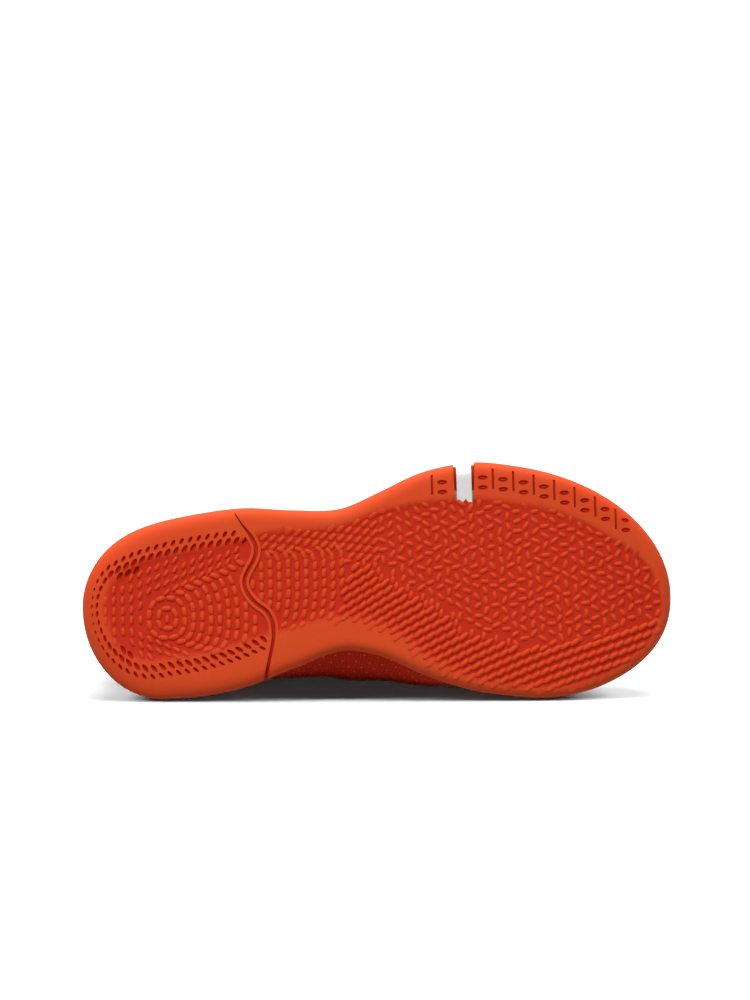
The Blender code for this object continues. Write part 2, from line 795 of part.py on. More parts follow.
def lay_down(things, cutters, collection):
    """Put every piece under one empty that lays the shoe down, centred over the origin, on the floor."""
    bpy.context.view_layer.update()
    clouds = {thing.name: mesh_points(thing) for thing in things}
    rotation = lying_turn(clouds["outsole"], clouds["upper"])
    turned = np.vstack(list(clouds.values())) @ np.array(rotation).T
    low, high = turned.min(axis=0), turned.max(axis=0)
    shift = (-(low[0] + high[0]) / 2.0, -(low[1] + high[1]) / 2.0, -low[2])
    lying = bpy.data.objects.new("lying", None)
    lying.matrix_world = Matrix.Translation(shift) @ rotation.to_4x4()
    collection.objects.link(lying)
    for thing in [*things, *cutters]:
        thing.parent = lying


def build():
    for thing in list(bpy.data.objects):
        bpy.data.objects.remove(thing)
    shoe = make_collection("basketball_shoe")
    cutters = make_collection("cutters")
    rubber = make_material("rubber", (0.48, 0.045, 0.014), 0.5)
    foam = make_material("foam", (0.82, 0.82, 0.8), 0.7)
    knit = make_material("knit", (0.42, 0.03, 0.012), 0.85)
    padding = make_material("padding", (0.36, 0.026, 0.011), 0.9)
    cord = make_material("cord", (0.5, 0.05, 0.018), 0.8)
    footbed = make_material("footbed", (0.32, 0.024, 0.01), 0.9)

    outsole = build_outsole(shoe, rubber)
    slot = prism("slot_cutter", cutters, slot_plan(), CUTTER_BOTTOM, SLOT_TOP)
    combine(outsole, slot, "DIFFERENCE")
    combine(outsole, groove_cutter(cutters), "DIFFERENCE")
    combine(outsole, flange_cutters(cutters), "DIFFERENCE")

    midsole = slab("midsole", shoe, lambda turn: cup_inset(turn) + GAP,
                   lambda x: ground(x) + CUP_FLOOR + GAP, foam_top, material=foam)
    tab = prism("tab", cutters, slot_plan(TAB_SIDE_GAP, GAP), CUTTER_BOTTOM, SLOT_TOP - GAP)
    combine(tab, solid_form("tab_form", cutters, TAB_SINK), "INTERSECT")
    combine(midsole, tab, "UNION")

    insole = slab("insole", shoe, lambda turn: cup_inset(turn) + GAP + WALL + INSOLE_CLEARANCE,
                  lambda x: foam_top(x) + GAP, lambda x: foam_top(x) + GAP + INSOLE_THICKNESS,
                  rounding=INSOLE_EDGE, material=footbed)
    upper = build_upper(shoe, knit)
    tongue = build_tongue(shoe, padding)
    lace = build_lace(shoe, cutters, cord)
    lay_down([outsole, midsole, insole, upper, tongue, lace], list(cutters.objects), shoe)


build()
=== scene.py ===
import json
import math
import random
import bmesh
import bpy
import numpy as np
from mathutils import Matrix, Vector
from mathutils.bvhtree import BVHTree


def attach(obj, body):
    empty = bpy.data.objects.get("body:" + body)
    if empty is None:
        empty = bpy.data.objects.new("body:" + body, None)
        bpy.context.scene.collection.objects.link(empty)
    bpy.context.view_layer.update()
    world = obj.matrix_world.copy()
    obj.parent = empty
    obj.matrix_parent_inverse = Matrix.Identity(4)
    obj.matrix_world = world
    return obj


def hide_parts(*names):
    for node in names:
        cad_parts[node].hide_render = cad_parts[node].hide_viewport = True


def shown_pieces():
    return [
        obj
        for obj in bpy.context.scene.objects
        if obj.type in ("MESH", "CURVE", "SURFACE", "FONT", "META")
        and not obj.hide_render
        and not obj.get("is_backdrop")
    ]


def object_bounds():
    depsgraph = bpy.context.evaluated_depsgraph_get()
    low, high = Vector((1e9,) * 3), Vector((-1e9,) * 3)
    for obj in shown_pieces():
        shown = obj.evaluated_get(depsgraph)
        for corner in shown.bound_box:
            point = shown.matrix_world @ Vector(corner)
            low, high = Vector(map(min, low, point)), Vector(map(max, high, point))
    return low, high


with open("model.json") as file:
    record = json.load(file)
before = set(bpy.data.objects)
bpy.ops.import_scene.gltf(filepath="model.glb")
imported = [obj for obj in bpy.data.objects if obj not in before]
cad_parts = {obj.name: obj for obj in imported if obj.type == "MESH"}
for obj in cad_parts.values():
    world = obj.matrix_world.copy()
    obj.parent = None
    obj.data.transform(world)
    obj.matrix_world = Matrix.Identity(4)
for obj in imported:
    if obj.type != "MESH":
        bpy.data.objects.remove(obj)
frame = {"nodes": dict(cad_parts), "record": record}
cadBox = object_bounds()
mm = 0.001  # sizes are millimetres of the standing shoe: x heel to toe, y to the inner side, z up
tiny = 1e-12
upright = np.array((0.0, 0.0, 1.0))
print("frame loaded", sorted(frame["nodes"]))

# the two tread mounts of the record, where they lie on the standing shoe
treadSpots = {"heel_tread": (58.0, 32.0, 0.0), "forefoot_tread": (186.8, -57.2, 0.0)}


def unit(v):
    v = np.asarray(v, float)
    return v / np.maximum(np.linalg.norm(v, axis=-1, keepdims=True), tiny)


def triad(run, up):
    run = unit(run)
    up = unit(up - run * np.dot(run, up))
    return np.column_stack((run, np.cross(up, run), up))


def lyingFrame():  # rotation and origin that carry the standing shoe to the row frame
    mounts = {m["name"]: m for m in frame["record"]["mounts"]}
    heel, fore = mounts["heel_tread"], mounts["forefoot_tread"]
    lying = triad(np.subtract(fore["pos_m"], heel["pos_m"]), -np.array(heel["axis"]))
    spots = {name: np.array(spot) for name, spot in treadSpots.items()}
    standing = triad(spots["forefoot_tread"] - spots["heel_tread"], upright)
    rotation = lying @ standing.T
    return rotation, np.array(heel["pos_m"]) - rotation @ spots["heel_tread"] * mm


lyingTurn, lyingOrigin = lyingFrame()


def toRow(points):
    return np.asarray(points, float) * mm @ lyingTurn.T + lyingOrigin


def toStanding(points):
    return (np.asarray(points, float) - lyingOrigin) @ lyingTurn / mm


# meshes


class Shell:  # points and faces of one piece, gathered from grids
    def __init__(self):
        self.points, self.faces, self.count = [], [], 0

    def add(self, points):
        points = np.asarray(points, float)
        flat = points.reshape(-1, 3)
        index = self.count + np.arange(len(flat)).reshape(points.shape[:-1])
        self.points.append(flat)
        self.count += len(flat)
        return index

    def quads(self, index, closed=False):  # closed joins the last column to the first
        if closed:
            index = np.concatenate((index, index[:, :1]), axis=1)
        quad = np.stack((index[:-1, :-1], index[:-1, 1:], index[1:, 1:], index[1:, :-1]), axis=-1)
        self.faces.extend(quad.reshape(-1, 4).tolist())

    def grid(self, points, closed=False):
        index = self.add(points)
        self.quads(index, closed)
        return index

    def cap(self, ring, flip=False):
        ring = [int(i) for i in ring]
        self.faces.append(ring[::-1] if flip else ring)

    def tube(self, loops):  # closed loops one after the other, with both ends shut
        index = self.grid(np.array(loops), closed=True)
        self.cap(index[0], flip=True)
        self.cap(index[-1])

    def across(self, ring, ringPoints, height, columns, flip=False):  # rows from the outer to the inner side
        half = len(ring) // 2
        start, end = ringPoints[1:half], ringPoints[:half:-1]
        share = (np.arange(1, columns) / columns)[None, :, None]
        inner = start[:, None] * (1 - share) + end[:, None] * share
        inner[..., 2] = height(inner[..., 0])
        body = self.add(inner)
        index = np.concatenate((ring[1:half, None], body, ring[:half:-1, None]), axis=1)
        if flip:
            index = index[::-1]
        self.quads(index)
        tips = (ring[half], ring[0]) if flip else (ring[0], ring[half])
        for k in range(columns):
            self.faces.append([int(tips[0]), int(index[0, k + 1]), int(index[0, k])])
            self.faces.append([int(tips[1]), int(index[-1, k]), int(index[-1, k + 1])])

    def merge(self, points, faces):
        start = self.count
        self.add(points)
        self.faces.extend([[start + i for i in face] for face in faces])

    def stacked(self):
        return np.concatenate(self.points)

    def tree(self):
        return BVHTree.FromPolygons(self.stacked().tolist(), self.faces)

    def piece(self, name, finish=None, smooth=35.0):
        data = bpy.data.meshes.new(name)
        data.from_pydata(toRow(self.stacked()).tolist(), [], self.faces)
        data.update()
        shadeBy(data, smooth)
        thing = bpy.data.objects.new(name, data)
        bpy.context.scene.collection.objects.link(thing)
        if finish:
            data.materials.append(finish)
        allFaces(thing, bmesh.ops.recalc_face_normals)
        return thing


def allFaces(thing, step):  # one mesh operation over all faces
    work = bmesh.new()
    work.from_mesh(thing.data)
    step(work, faces=work.faces)
    work.to_mesh(thing.data)
    work.free()


def shadeBy(data, angle):
    data.shade_smooth()
    data.set_sharp_from_angle(angle=math.radians(angle))


def bake(thing, smooth=35.0):  # the modifiers' result becomes the mesh
    shape = thing.evaluated_get(bpy.context.evaluated_depsgraph_get())
    data = bpy.data.meshes.new_from_object(shape)
    thing.modifiers.clear()
    old = thing.data
    thing.data = data
    bpy.data.meshes.remove(old)
    shadeBy(data, smooth)


def cutBy(thing, tool, solver="EXACT"):
    step = thing.modifiers.new("cut", "BOOLEAN")
    step.operation = "DIFFERENCE"
    step.solver = solver
    step.object = tool


def discard(*things):
    for thing in things:
        bpy.data.objects.remove(thing)


def setField(thing, name, values):  # one number for each point, which a finish reads by name
    layer = thing.data.attributes.new(name, "FLOAT", "POINT")
    layer.data.foreach_set("value", np.asarray(values, np.float32).ravel())


def dress(thing, slot, *nodes):  # its finish in the record (slot, not used), the body it moves with, the solids it stands for
    if nodes:
        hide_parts(*nodes)
    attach(thing, "root")


def catmull(points, steps):  # smooth curve or stack of rows through the given ones
    points = np.asarray(points, float)
    padded = np.concatenate((2 * points[:1] - points[1:2], points, 2 * points[-1:] - points[-2:-1]))
    out = []
    for i in range(len(points) - 1):
        a, b, c, d = padded[i:i + 4]
        for t in np.arange(steps) / steps:
            out.append(b + 0.5 * t * (c - a + t * (2 * a - 5 * b + 4 * c - d + t * (3 * (b - c) + d - a))))
    out.append(points[-1])
    return np.array(out)


def bezier(a, b, c, d, t):
    s = 1 - t
    return a * s ** 3 + b * 3 * s * s * t + c * 3 * s * t * t + d * t ** 3


def smoothStep(v):
    v = np.clip(v, 0.0, 1.0)
    return v * v * (3 - 2 * v)


def walk(path):  # length of a path up to each of its points
    return np.concatenate(([0], np.cumsum(np.linalg.norm(np.diff(path, axis=0), axis=1))))


def follow(path, walked, place):  # point of a path at a length along it
    return np.array([np.interp(place, walked, path[:, axis]) for axis in range(path.shape[1])])


def circleAngles(count):
    return 2 * math.pi * np.arange(count) / count


def bent(wave, power):  # rounds a sine or cosine towards a square
    return np.sign(wave) * np.abs(wave) ** power


class SizeTable:  # rows of sizes under named columns, read along a smooth curve
    def __init__(self, columns, *rows):
        data = np.array(rows, float).T
        self.knots = data[0]
        self.sizes = dict(zip(columns[1:], data[1:]))
        self.slopes = {name: np.gradient(column, self.knots) for name, column in self.sizes.items()}

    def at(self, column, where):
        where = np.asarray(where, float)
        sizes, slopes, knots = self.sizes[column], self.slopes[column], self.knots
        i = np.clip(np.searchsorted(knots, where) - 1, 0, len(knots) - 2)
        step = knots[i + 1] - knots[i]
        t = np.clip((where - knots[i]) / step, 0.0, 1.0)
        rise = sizes[i + 1] - sizes[i]
        bendIn = slopes[i] * step - rise
        bendOut = rise - slopes[i + 1] * step
        return sizes[i] + t * rise + t * (1 - t) * ((1 - t) * bendIn + t * bendOut)


# form of the shoe

sole = {
    "length": 298.0, "heelRoundSpan": 36.0, "heelRoundRise": 6.5, "archStart": 88.0, "archEnd": 168.0,
    "archRise": 3.5, "toeSpan": 70.0, "toeRise": 15.0, "fieldDepth": 1.25, "rampLead": 0.6, "cupFloor": 5.5,
    "cupRim": 3.0, "sideRise": 9.0, "cornerSpread": 1.4, "cornerShare": 0.8, "cornerPower": 3,
    "rimRound": 0.8, "gap": 0.3,
}
endRounding = {
    "lateral": {"heel": 50.0, "toe": 103.0, "power": 2.0},
    "medial": {"heel": 41.0, "toe": 76.0, "power": 2.2},
}
sideWall = {  # shares of the side's lean and height at which the wall bends
    "cornerSteps": 13, "cornerBend": 2 / 3, "steps": 4,
    "foot": {"lean": 0.12, "ground": 0.7, "top": 0.35, "rise": 0.72}, "high": {"lean": 0.62, "top": 0.8},
}
upperForm = {"footRise": 0.5, "outPull": 10.0, "reachShare": 1.12}
rimAngles = np.radians((30, 60, 90))  # steps of a rounded upper edge
outlineSizes = SizeTable(
    ("x", "lateral", "medial"),
    (0, 44.0, 46.6), (45, 44.0, 46.6), (60, 46.4, 45.9), (82, 48.6, 41.8), (108, 47.0, 32.4),
    (133, 47.6, 24.6), (152, 55.2, 28.7), (172, 63.9, 38.2), (195, 68.4, 46.3), (222, 68.4, 50.6),
    (298, 68.4, 50.6),
)
edgeSizes = SizeTable(
    ("turn", "corner", "lean", "top"),
    (0, 10.0, 5.0, 36.0), (25, 10.0, 5.5, 34.0), (50, 8.0, 7.0, 31.0), (75, 7.0, 4.5, 30.0),
    (92, 7.0, 6.0, 29.0), (110, 6.0, 11.0, 27.0), (132, 6.0, 9.0, 26.0), (155, 6.0, 5.5, 28.0),
    (180, 6.0, 4.0, 31.0), (205, 6.0, 4.0, 28.0), (235, 5.5, 5.0, 26.0), (256, 6.0, 4.5, 27.5),
    (276, 4.2, 2.6, 31.0), (295, 6.0, 4.5, 32.5), (325, 10.0, 7.5, 34.0), (360, 10.0, 5.0, 36.0),
)
fieldSizes = SizeTable(  # smooth border round the sunk tread field
    ("turn", "border"),
    (0, 9.8), (25, 14.2), (50, 17.6), (61, 17.0), (69, 11.8), (80, 9.2), (87, 8.0), (92, 10.3), (98, 14.8),
    (106, 17.6), (132, 17.4), (150, 15.0), (163, 10.0), (180, 4.9), (205, 3.7), (235, 3.3), (254, 4.5),
    (262, 7.0), (268, 11.0), (276, 14.6), (284, 17.0), (292, 19.5), (302, 19.6), (325, 16.0), (340, 11.6),
    (360, 9.8),
)
rampSizes = SizeTable(  # length of the slope into the field
    ("turn", "run"), (0, 5.0), (230, 5.0), (262, 7.0), (285, 8.6), (340, 8.6), (360, 5.0),
)
foamSizes = SizeTable(("x", "thickness"), (0, 20.0), (70, 20.0), (140, 17.0), (205, 13.0), (298, 11.5))
grooveLine = SizeTable(
    ("y", "x"),
    (-45.4, 78.6), (-40, 81.9), (-34, 86.2), (-27, 88.9), (-22, 87.8), (-17, 84.9), (-11, 82.6), (-6, 83.6),
    (0, 87.9), (4, 93.0), (9, 95.9), (15.5, 96.7), (24, 95.4), (31, 93.7), (52, 88.5),
)
toplineSizes = SizeTable(
    ("turn", "x", "lateral", "medial", "z"),
    (0, 8.5, 0.0, 0.0, 88.0), (24, 15.0, 17.5, 17.5, 85.5), (44, 39.0, 29.5, 29.0, 75.5),
    (60, 69.0, 32.5, 31.5, 70.0), (74, 96.0, 30.5, 31.0, 79.0), (84, 113.0, 25.5, 27.0, 90.5),
    (98, 142.0, 20.5, 23.5, 84.0), (114, 176.0, 17.0, 20.5, 73.5), (130, 202.0, 14.0, 17.0, 66.5),
    (150, 216.0, 8.5, 10.5, 63.2), (180, 220.5, -1.0, 1.0, 62.0),
)
ribSizes = SizeTable(  # pulls on the curve of the upper from the sole's edge to the topline
    ("turn", "lowLateral", "lowMedial", "lowUp", "topLateral", "topMedial", "topDown"),
    (0, 7.0, 7.0, 18.0, 4.0, 4.0, 22.0), (24, 6.5, 6.5, 16.0, 4.0, 4.0, 18.0),
    (44, 5.0, 4.0, 14.0, 3.5, 3.5, 14.0), (60, 4.5, 4.5, 13.0, 4.0, 4.0, 12.0),
    (74, 4.0, 16.5, 15.0, 8.0, 8.5, 18.0), (84, 3.5, 34.5, 17.0, 13.0, 16.5, 17.0),
    (98, 3.0, 23.3, 18.5, 17.0, 19.5, 13.0), (114, 3.0, 6.0, 20.0, 21.0, 20.0, 9.0),
    (130, 3.5, 4.0, 20.0, 26.0, 24.0, 6.5), (150, 4.5, 4.5, 20.5, 33.0, 31.0, 4.5),
    (180, 5.0, 5.0, 21.0, 42.0, 42.0, 3.5),
)


def arcRise(distance, span, height):
    radius = (span * span + height * height) / (2 * height)
    return radius - np.sqrt(radius * radius - np.clip(distance, 0.0, span) ** 2)


def ground(x):  # height of the sole's bottom line
    x = np.asarray(x, float)
    rise = arcRise(sole["heelRoundSpan"] - x, sole["heelRoundSpan"], sole["heelRoundRise"])
    rise = rise + arcRise(x - sole["length"] + sole["toeSpan"], sole["toeSpan"], sole["toeRise"])
    along = np.clip((x - sole["archStart"]) / (sole["archEnd"] - sole["archStart"]), 0.0, 1.0)
    return rise + sole["archRise"] * np.sin(np.pi * along) ** 2


def halfWidth(x, side):
    ends = endRounding[side]
    heel = np.clip(1 - x / ends["heel"], 0.0, 1.0)
    toe = np.clip(1 - (sole["length"] - x) / ends["toe"], 0.0, 1.0)
    shares = np.sqrt(1 - heel * heel) * (1 - toe ** ends["power"]) ** (1 / ends["power"])
    return outlineSizes.at(side, x) * shares


def lateralEdge(x):  # y of the outer edge
    return -float(halfWidth(x, "lateral"))


# a turn in degrees is a place round the sole: 0 at the heel, 180 at the toe, the outer side first
def wrapped(turn):
    return np.asarray(turn, float) % 360


def fold(turn):  # the same on both sides
    return np.minimum(wrapped(turn), 360 - wrapped(turn))


def allTurns(count):
    return 360.0 * np.arange(count) / count


def outline(turn):
    turn = wrapped(turn)
    x = sole["length"] / 2 * (1 - np.cos(np.radians(turn)))
    y = np.where(turn <= 180, -halfWidth(x, "lateral"), halfWidth(x, "medial"))
    return np.stack((x, y), axis=-1)


def outward(turn, reach=0.5):
    run = outline(np.asarray(turn) + reach) - outline(np.asarray(turn) - reach)
    return unit(np.stack((run[..., 1], -run[..., 0]), axis=-1))


def edge(column, turn):
    return edgeSizes.at(column, wrapped(turn))


def borderAt(turn):
    return fieldSizes.at("border", wrapped(turn))


def fieldShare(turn, inset):  # how far the tread field is sunk: 0 on the border, 1 inside
    run = rampSizes.at("run", wrapped(turn))
    return smoothStep((inset - borderAt(turn) + sole["rampLead"]) / run)


def insetPoint(turn, inset, height):  # height is a number, an array or a function of x
    flat = outline(turn) - outward(turn) * np.broadcast_to(inset, np.shape(turn))[..., None]
    z = height(flat[..., 0]) if callable(height) else np.broadcast_to(height, np.shape(turn))
    return np.concatenate((flat, z[..., None]), axis=-1)


def cupInset(turn):
    return edge("lean", turn) + sole["cupRim"]


def foamTop(x):
    return ground(x) + foamSizes.at("thickness", x)


def cornerLift(turn, inset):  # how far the underside bends up towards its edge
    share = np.clip(1 - inset / (edge("corner", turn) * sole["cornerSpread"]), 0.0, 1.0)
    return sole["cornerShare"] * sole["sideRise"] * (1 - np.sqrt(1 - share ** sole["cornerPower"]))


def sideRings(turn, shrink=0.0):  # from the flat of the border round the corner and up the side to the rim
    corner, lean, top = edge("corner", turn), edge("lean", turn), edge("top", turn)
    foot, high, steps = sideWall["foot"], sideWall["high"], sideWall["steps"]
    rings = []
    for angle in np.radians(np.linspace(0, 90, sideWall["cornerSteps"])):  # bends in softly, ends upright
        inset = corner * sole["cornerSpread"] * (1 - math.sin(angle) ** sideWall["cornerBend"])
        lift = shrink + cornerLift(turn, inset) + sole["fieldDepth"] * fieldShare(turn, inset)
        rings.append(insetPoint(turn, shrink + inset, lambda x: ground(x) + lift))
    footRise = (sole["sideRise"] + top * foot["top"]) * foot["rise"]
    wall = rings[-2:]
    inset = shrink + lean * foot["lean"]
    wall.append(insetPoint(turn, inset, lambda x: ground(x) * foot["ground"] + footRise))
    wall.append(insetPoint(turn, shrink + lean * high["lean"], top * high["top"]))
    wall.append(insetPoint(turn, shrink + lean, top - sole["rimRound"]))
    return np.concatenate((rings, catmull(wall, steps)[steps + 1:]))


def ribCurve(turn):  # the four points of the upper's curve at a turn
    turn = wrapped(turn)
    share = fold(turn)
    lateral = turn <= 180
    foot = insetPoint(turn, cupInset(turn) + sole["gap"], edge("top", turn) + upperForm["footRise"])
    y = np.where(lateral, -toplineSizes.at("lateral", share), toplineSizes.at("medial", share))
    head = np.stack((toplineSizes.at("x", share), y, toplineSizes.at("z", share)), axis=-1)
    flat = outward(turn)
    out = np.concatenate((flat, np.zeros(flat.shape[:-1] + (1,))), axis=-1)
    away = unit((foot - head) * (1, 1, 0) + out * upperForm["outPull"])
    low = np.where(lateral, ribSizes.at("lowLateral", share), ribSizes.at("lowMedial", share))[..., None]
    top = np.where(lateral, ribSizes.at("topLateral", share), ribSizes.at("topMedial", share))[..., None]
    lowPull = foot + out * low + upright * ribSizes.at("lowUp", share)[..., None]
    topPull = head + away * top - upright * ribSizes.at("topDown", share)[..., None]
    return foot, lowPull, topPull, head


def ribReach(turn):
    foot, _, _, head = ribCurve(turn)
    return np.linalg.norm(head - foot, axis=-1) * upperForm["reachShare"]


def upperPoint(turn, below):
    turn, below = np.broadcast_arrays(np.asarray(turn, float), np.asarray(below, float))
    return bezier(*ribCurve(turn), (1 - below / ribReach(turn))[..., None])


def upperNormal(turn, below, reach=0.6):
    around = upperPoint(turn + reach, below) - upperPoint(turn - reach, below)
    upwards = upperPoint(turn, below) - upperPoint(turn, np.asarray(below) + reach)
    return unit(np.cross(around, upwards))


print("form ready")

# finishes


class Wire:  # a node's output, with the arithmetic of a shader
    def __init__(self, finish, socket):
        self.finish, self.socket = finish, socket

    def apply(self, operation, *others):  # this value comes first
        return self.finish.maths(operation, self, *others)

    def __add__(self, other):
        return self.apply("ADD", other)

    def __sub__(self, other):
        return self.apply("SUBTRACT", other)

    def __rsub__(self, other):
        return self.finish.maths("SUBTRACT", other, self)

    def __mul__(self, other):
        return self.apply("MULTIPLY", other)

    def __truediv__(self, other):
        return self.apply("DIVIDE", other)

    def __pow__(self, other):
        return self.apply("POWER", other)

    __radd__ = __add__
    __rmul__ = __mul__

    def clip(self):
        return self.apply("MAXIMUM", 0.0).apply("MINIMUM", 1.0)


class Finish:  # a material, built node by node
    def __init__(self, name, **sockets):
        self.material = bpy.data.materials.new(name)
        self.material.use_nodes = True
        self.tree = self.material.node_tree
        self.shader = self.tree.nodes["Principled BSDF"]
        for socket, value in sockets.items():
            self.set(socket, value)

    def set(self, socket, value):
        self.plug(self.shader.inputs[socket], value)

    def plug(self, socket, value):
        if isinstance(value, Wire):
            self.tree.links.new(value.socket, socket)
        else:
            socket.default_value = value

    def node(self, kind, settings=None, inputs=None, output=0):
        made = self.tree.nodes.new(kind)
        for key, value in (settings or {}).items():
            if key == "stops":
                self.stops(made.color_ramp, value)
            else:
                setattr(made, key, value)
        for key, value in (inputs or {}).items():
            self.plug(made.inputs[key], value)
        return Wire(self, made.outputs[output])

    def stops(self, ramp, values):
        while len(ramp.elements) < len(values):
            ramp.elements.new(1.0)
        for element, (place, level) in zip(ramp.elements, values):
            element.position = place
            element.color = (level, level, level, 1.0)

    def maths(self, operation, *values):
        return self.node("ShaderNodeMath", {"operation": operation}, dict(enumerate(values)))

    def place(self):  # row frame, in metres
        return self.node("ShaderNodeTexCoord", output=3)

    def noise(self, scale, detail, rough=0.55):
        inputs = {"Scale": scale, "Detail": detail, "Roughness": rough, "Vector": self.place()}
        return self.node("ShaderNodeTexNoise", {}, inputs)

    def mix(self, share, first, second):  # colours
        settings = {"data_type": "RGBA", "clamp_factor": True}
        return self.node("ShaderNodeMix", settings, {0: share, 6: first, 7: second}, output=2)

    def ramp(self, value, *stops):
        return self.node("ShaderNodeValToRGB", {"stops": stops}, {"Fac": value})

    def attribute(self, name):
        return self.node("ShaderNodeAttribute", {"attribute_name": name}, output=2)

    def bump(self, height, distance, strength):
        inputs = {"Height": height, "Distance": distance, "Strength": strength}
        self.set("Normal", self.node("ShaderNodeBump", {}, inputs))


def linear(c):
    return c / 12.92 if c <= 0.04045 else ((c + 0.055) / 1.055) ** 2.4


def colour(red, green, blue):  # from screen values to the shader's linear ones
    return (linear(red / 255), linear(green / 255), linear(blue / 255), 1.0)


# in the looks a noise is its scale and detail, a bump its depth and strength, a span its least and its spread
rubberLook = {
    # the sunk field's colour and the cut colour are painted shade, darker than the rubber itself
    "rubber": colour(230, 78, 34), "pale": colour(234, 88, 40), "sunkShade": colour(210, 48, 23),
    "cut": colour(198, 36, 14), "roughness": 0.66, "roughSpan": (0.6, 0.14), "specular": 0.12,
    "cloud": (24.0, 4.0), "cloudStops": ((0.35, 0.0), (0.75, 0.55)), "grain": (900.0, 2.0),
    "bump": (0.00012, 0.4),
}


def rubberFinish():  # field is 1 on the sunk base of the tread and 2 in the cuts, where painted shade darkens the rubber
    look = rubberLook
    made = Finish("rubber_moulded", Roughness=look["roughness"])
    cloud = made.noise(*look["cloud"])
    base = made.mix(made.ramp(cloud, *look["cloudStops"]), look["rubber"], look["pale"])
    field = made.attribute("field")
    # painted shade over the sunk base of the tread and its slopes
    sunk = made.mix(field.clip(), base, look["sunkShade"])
    # darker painted shade in the groove, slits and dimples
    made.set("Base Color", made.mix((field - 1.0).clip(), sunk, look["cut"]))
    least, spread = look["roughSpan"]
    made.set("Roughness", least + spread * cloud)
    made.set("Specular IOR Level", look["specular"])
    made.bump(made.noise(*look["grain"]), *look["bump"])
    return made.material


foamLook = {
    "foam": colour(238, 238, 235), "shade": colour(231, 232, 229), "roughness": 0.62, "cells": (700.0, 2.0),
    "bump": (0.00005, 0.25),
}


def foamFinish():
    look = foamLook
    made = Finish("foam_white", Roughness=look["roughness"])
    cells = made.noise(*look["cells"])
    made.set("Base Color", made.mix(cells, look["foam"], look["shade"]))
    made.bump(cells, *look["bump"])
    return made.material


knitLook = {
    "yarn": colour(238, 56, 22), "valley": colour(196, 34, 12), "dot": colour(232, 140, 112),
    "wale": 1.5, "course": 1.1, "slip": 1.2, "dotPitch": 5.5, "dotRow": 3.3, "dotSize": 0.4, "dotEdge": 6.0,
    "dotDip": 0.8, "bandSpan": 40.0, "bandStops": ((3.0, 0.0), (3.4, 1.0), (24.0, 1.0), (32.0, 0.0)),
    "cloud": (40.0, 4.0), "loopShare": 0.75, "roughness": 0.86, "roughSpan": (0.8, 0.12), "specular": 0.2,
    "bump": (0.00035, 0.8),
}


def knitFinish():  # u runs round the shoe and v up from the sole, both in millimetres
    look = knitLook
    made = Finish("knit_upper", Roughness=look["roughness"])
    made.set("Specular IOR Level", look["specular"])
    u, v = made.attribute("around"), made.attribute("upward")
    wave = (u * (2 * math.pi / look["wale"])).apply("SINE")
    course = (v * (2 * math.pi / look["course"]) + wave * look["slip"]).apply("SINE")
    loops = (wave + 1) * 0.25 + (course + 1) * 0.25  # both waves as one value from 0 to 1
    row = v / look["dotRow"]
    shift = row.apply("FLOOR").apply("MODULO", 2.0) * 0.5  # every other row stands half a pitch aside
    across = ((u / look["dotPitch"] + shift).apply("FRACT") - 0.5) * look["dotPitch"]
    along = (row.apply("FRACT") - 0.5) * look["dotRow"]
    distance = (across * across + along * along) ** 0.5
    stops = [(height / look["bandSpan"], level) for height, level in look["bandStops"]]
    band = made.ramp(v / look["bandSpan"], *stops)
    dot = ((look["dotSize"] - distance) * look["dotEdge"]).clip() * band
    cloud = made.noise(*look["cloud"])
    share = loops * look["loopShare"] + cloud * (1 - look["loopShare"])
    made.set("Base Color", made.mix(dot, made.mix(share, look["valley"], look["yarn"]), look["dot"]))
    least, spread = look["roughSpan"]
    made.set("Roughness", least + loops * spread)
    made.bump(loops - dot * look["dotDip"], *look["bump"])
    return made.material


clothLook = {
    "lining": {"thread": colour(176, 46, 24), "gap": colour(128, 28, 12), "scale": 900.0},
    "padding": {"thread": colour(204, 60, 32), "gap": colour(156, 36, 16), "scale": 760.0},
    "footbed": {"thread": colour(170, 44, 24), "gap": colour(120, 26, 12), "scale": 620.0},
    "shared": {
        "roughness": 0.9, "roughSpan": (0.82, 0.14), "sheen": 0.12, "cloud": (55.0, 5.0),
        "weaveStops": ((0.15, 1.0), (0.75, 0.0)), "weaveShare": 0.7, "bump": (0.0003, 0.7),
    },
}


def clothFinish(name):  # fine woven or brushed textile
    look = {**clothLook["shared"], **clothLook[name]}
    made = Finish(name + "_cloth", Roughness=look["roughness"])
    made.set("Sheen Weight", look["sheen"])
    inputs = {"Scale": look["scale"], "Vector": made.place()}
    cells = made.node("ShaderNodeTexVoronoi", {"distance": "CHEBYCHEV"}, inputs)
    cloud = made.noise(*look["cloud"])
    weave = made.ramp(cells, *look["weaveStops"]) * look["weaveShare"] + cloud * (1 - look["weaveShare"])
    made.set("Base Color", made.mix(weave, look["gap"], look["thread"]))
    least, spread = look["roughSpan"]
    made.set("Roughness", least + cloud * spread)
    made.bump(weave, *look["bump"])
    return made.material


laceLook = {
    "thread": colour(226, 80, 42), "gap": colour(176, 44, 20), "rib": 0.9, "pick": 0.8, "slip": 1.4,
    "roughness": 0.8, "sheen": 0.12, "bump": (0.00025, 0.8),
}


def laceFinish():
    look = laceLook
    made = Finish("lace_woven", Roughness=look["roughness"])
    made.set("Sheen Weight", look["sheen"])
    rib = (made.attribute("upward") * (2 * math.pi / look["rib"])).apply("SINE")
    pick = made.attribute("around") * (2 * math.pi / look["pick"])
    weave = ((pick + rib * look["slip"]).apply("SINE") + 1) * 0.5
    made.set("Base Color", made.mix(weave, look["gap"], look["thread"]))
    made.bump(weave, *look["bump"])
    return made.material


threadLook = {
    "thread": colour(236, 96, 54), "shade": colour(196, 62, 30), "twist": (2400.0, 1.0), "roughness": 0.65,
    "bump": (0.00008, 0.6),
}


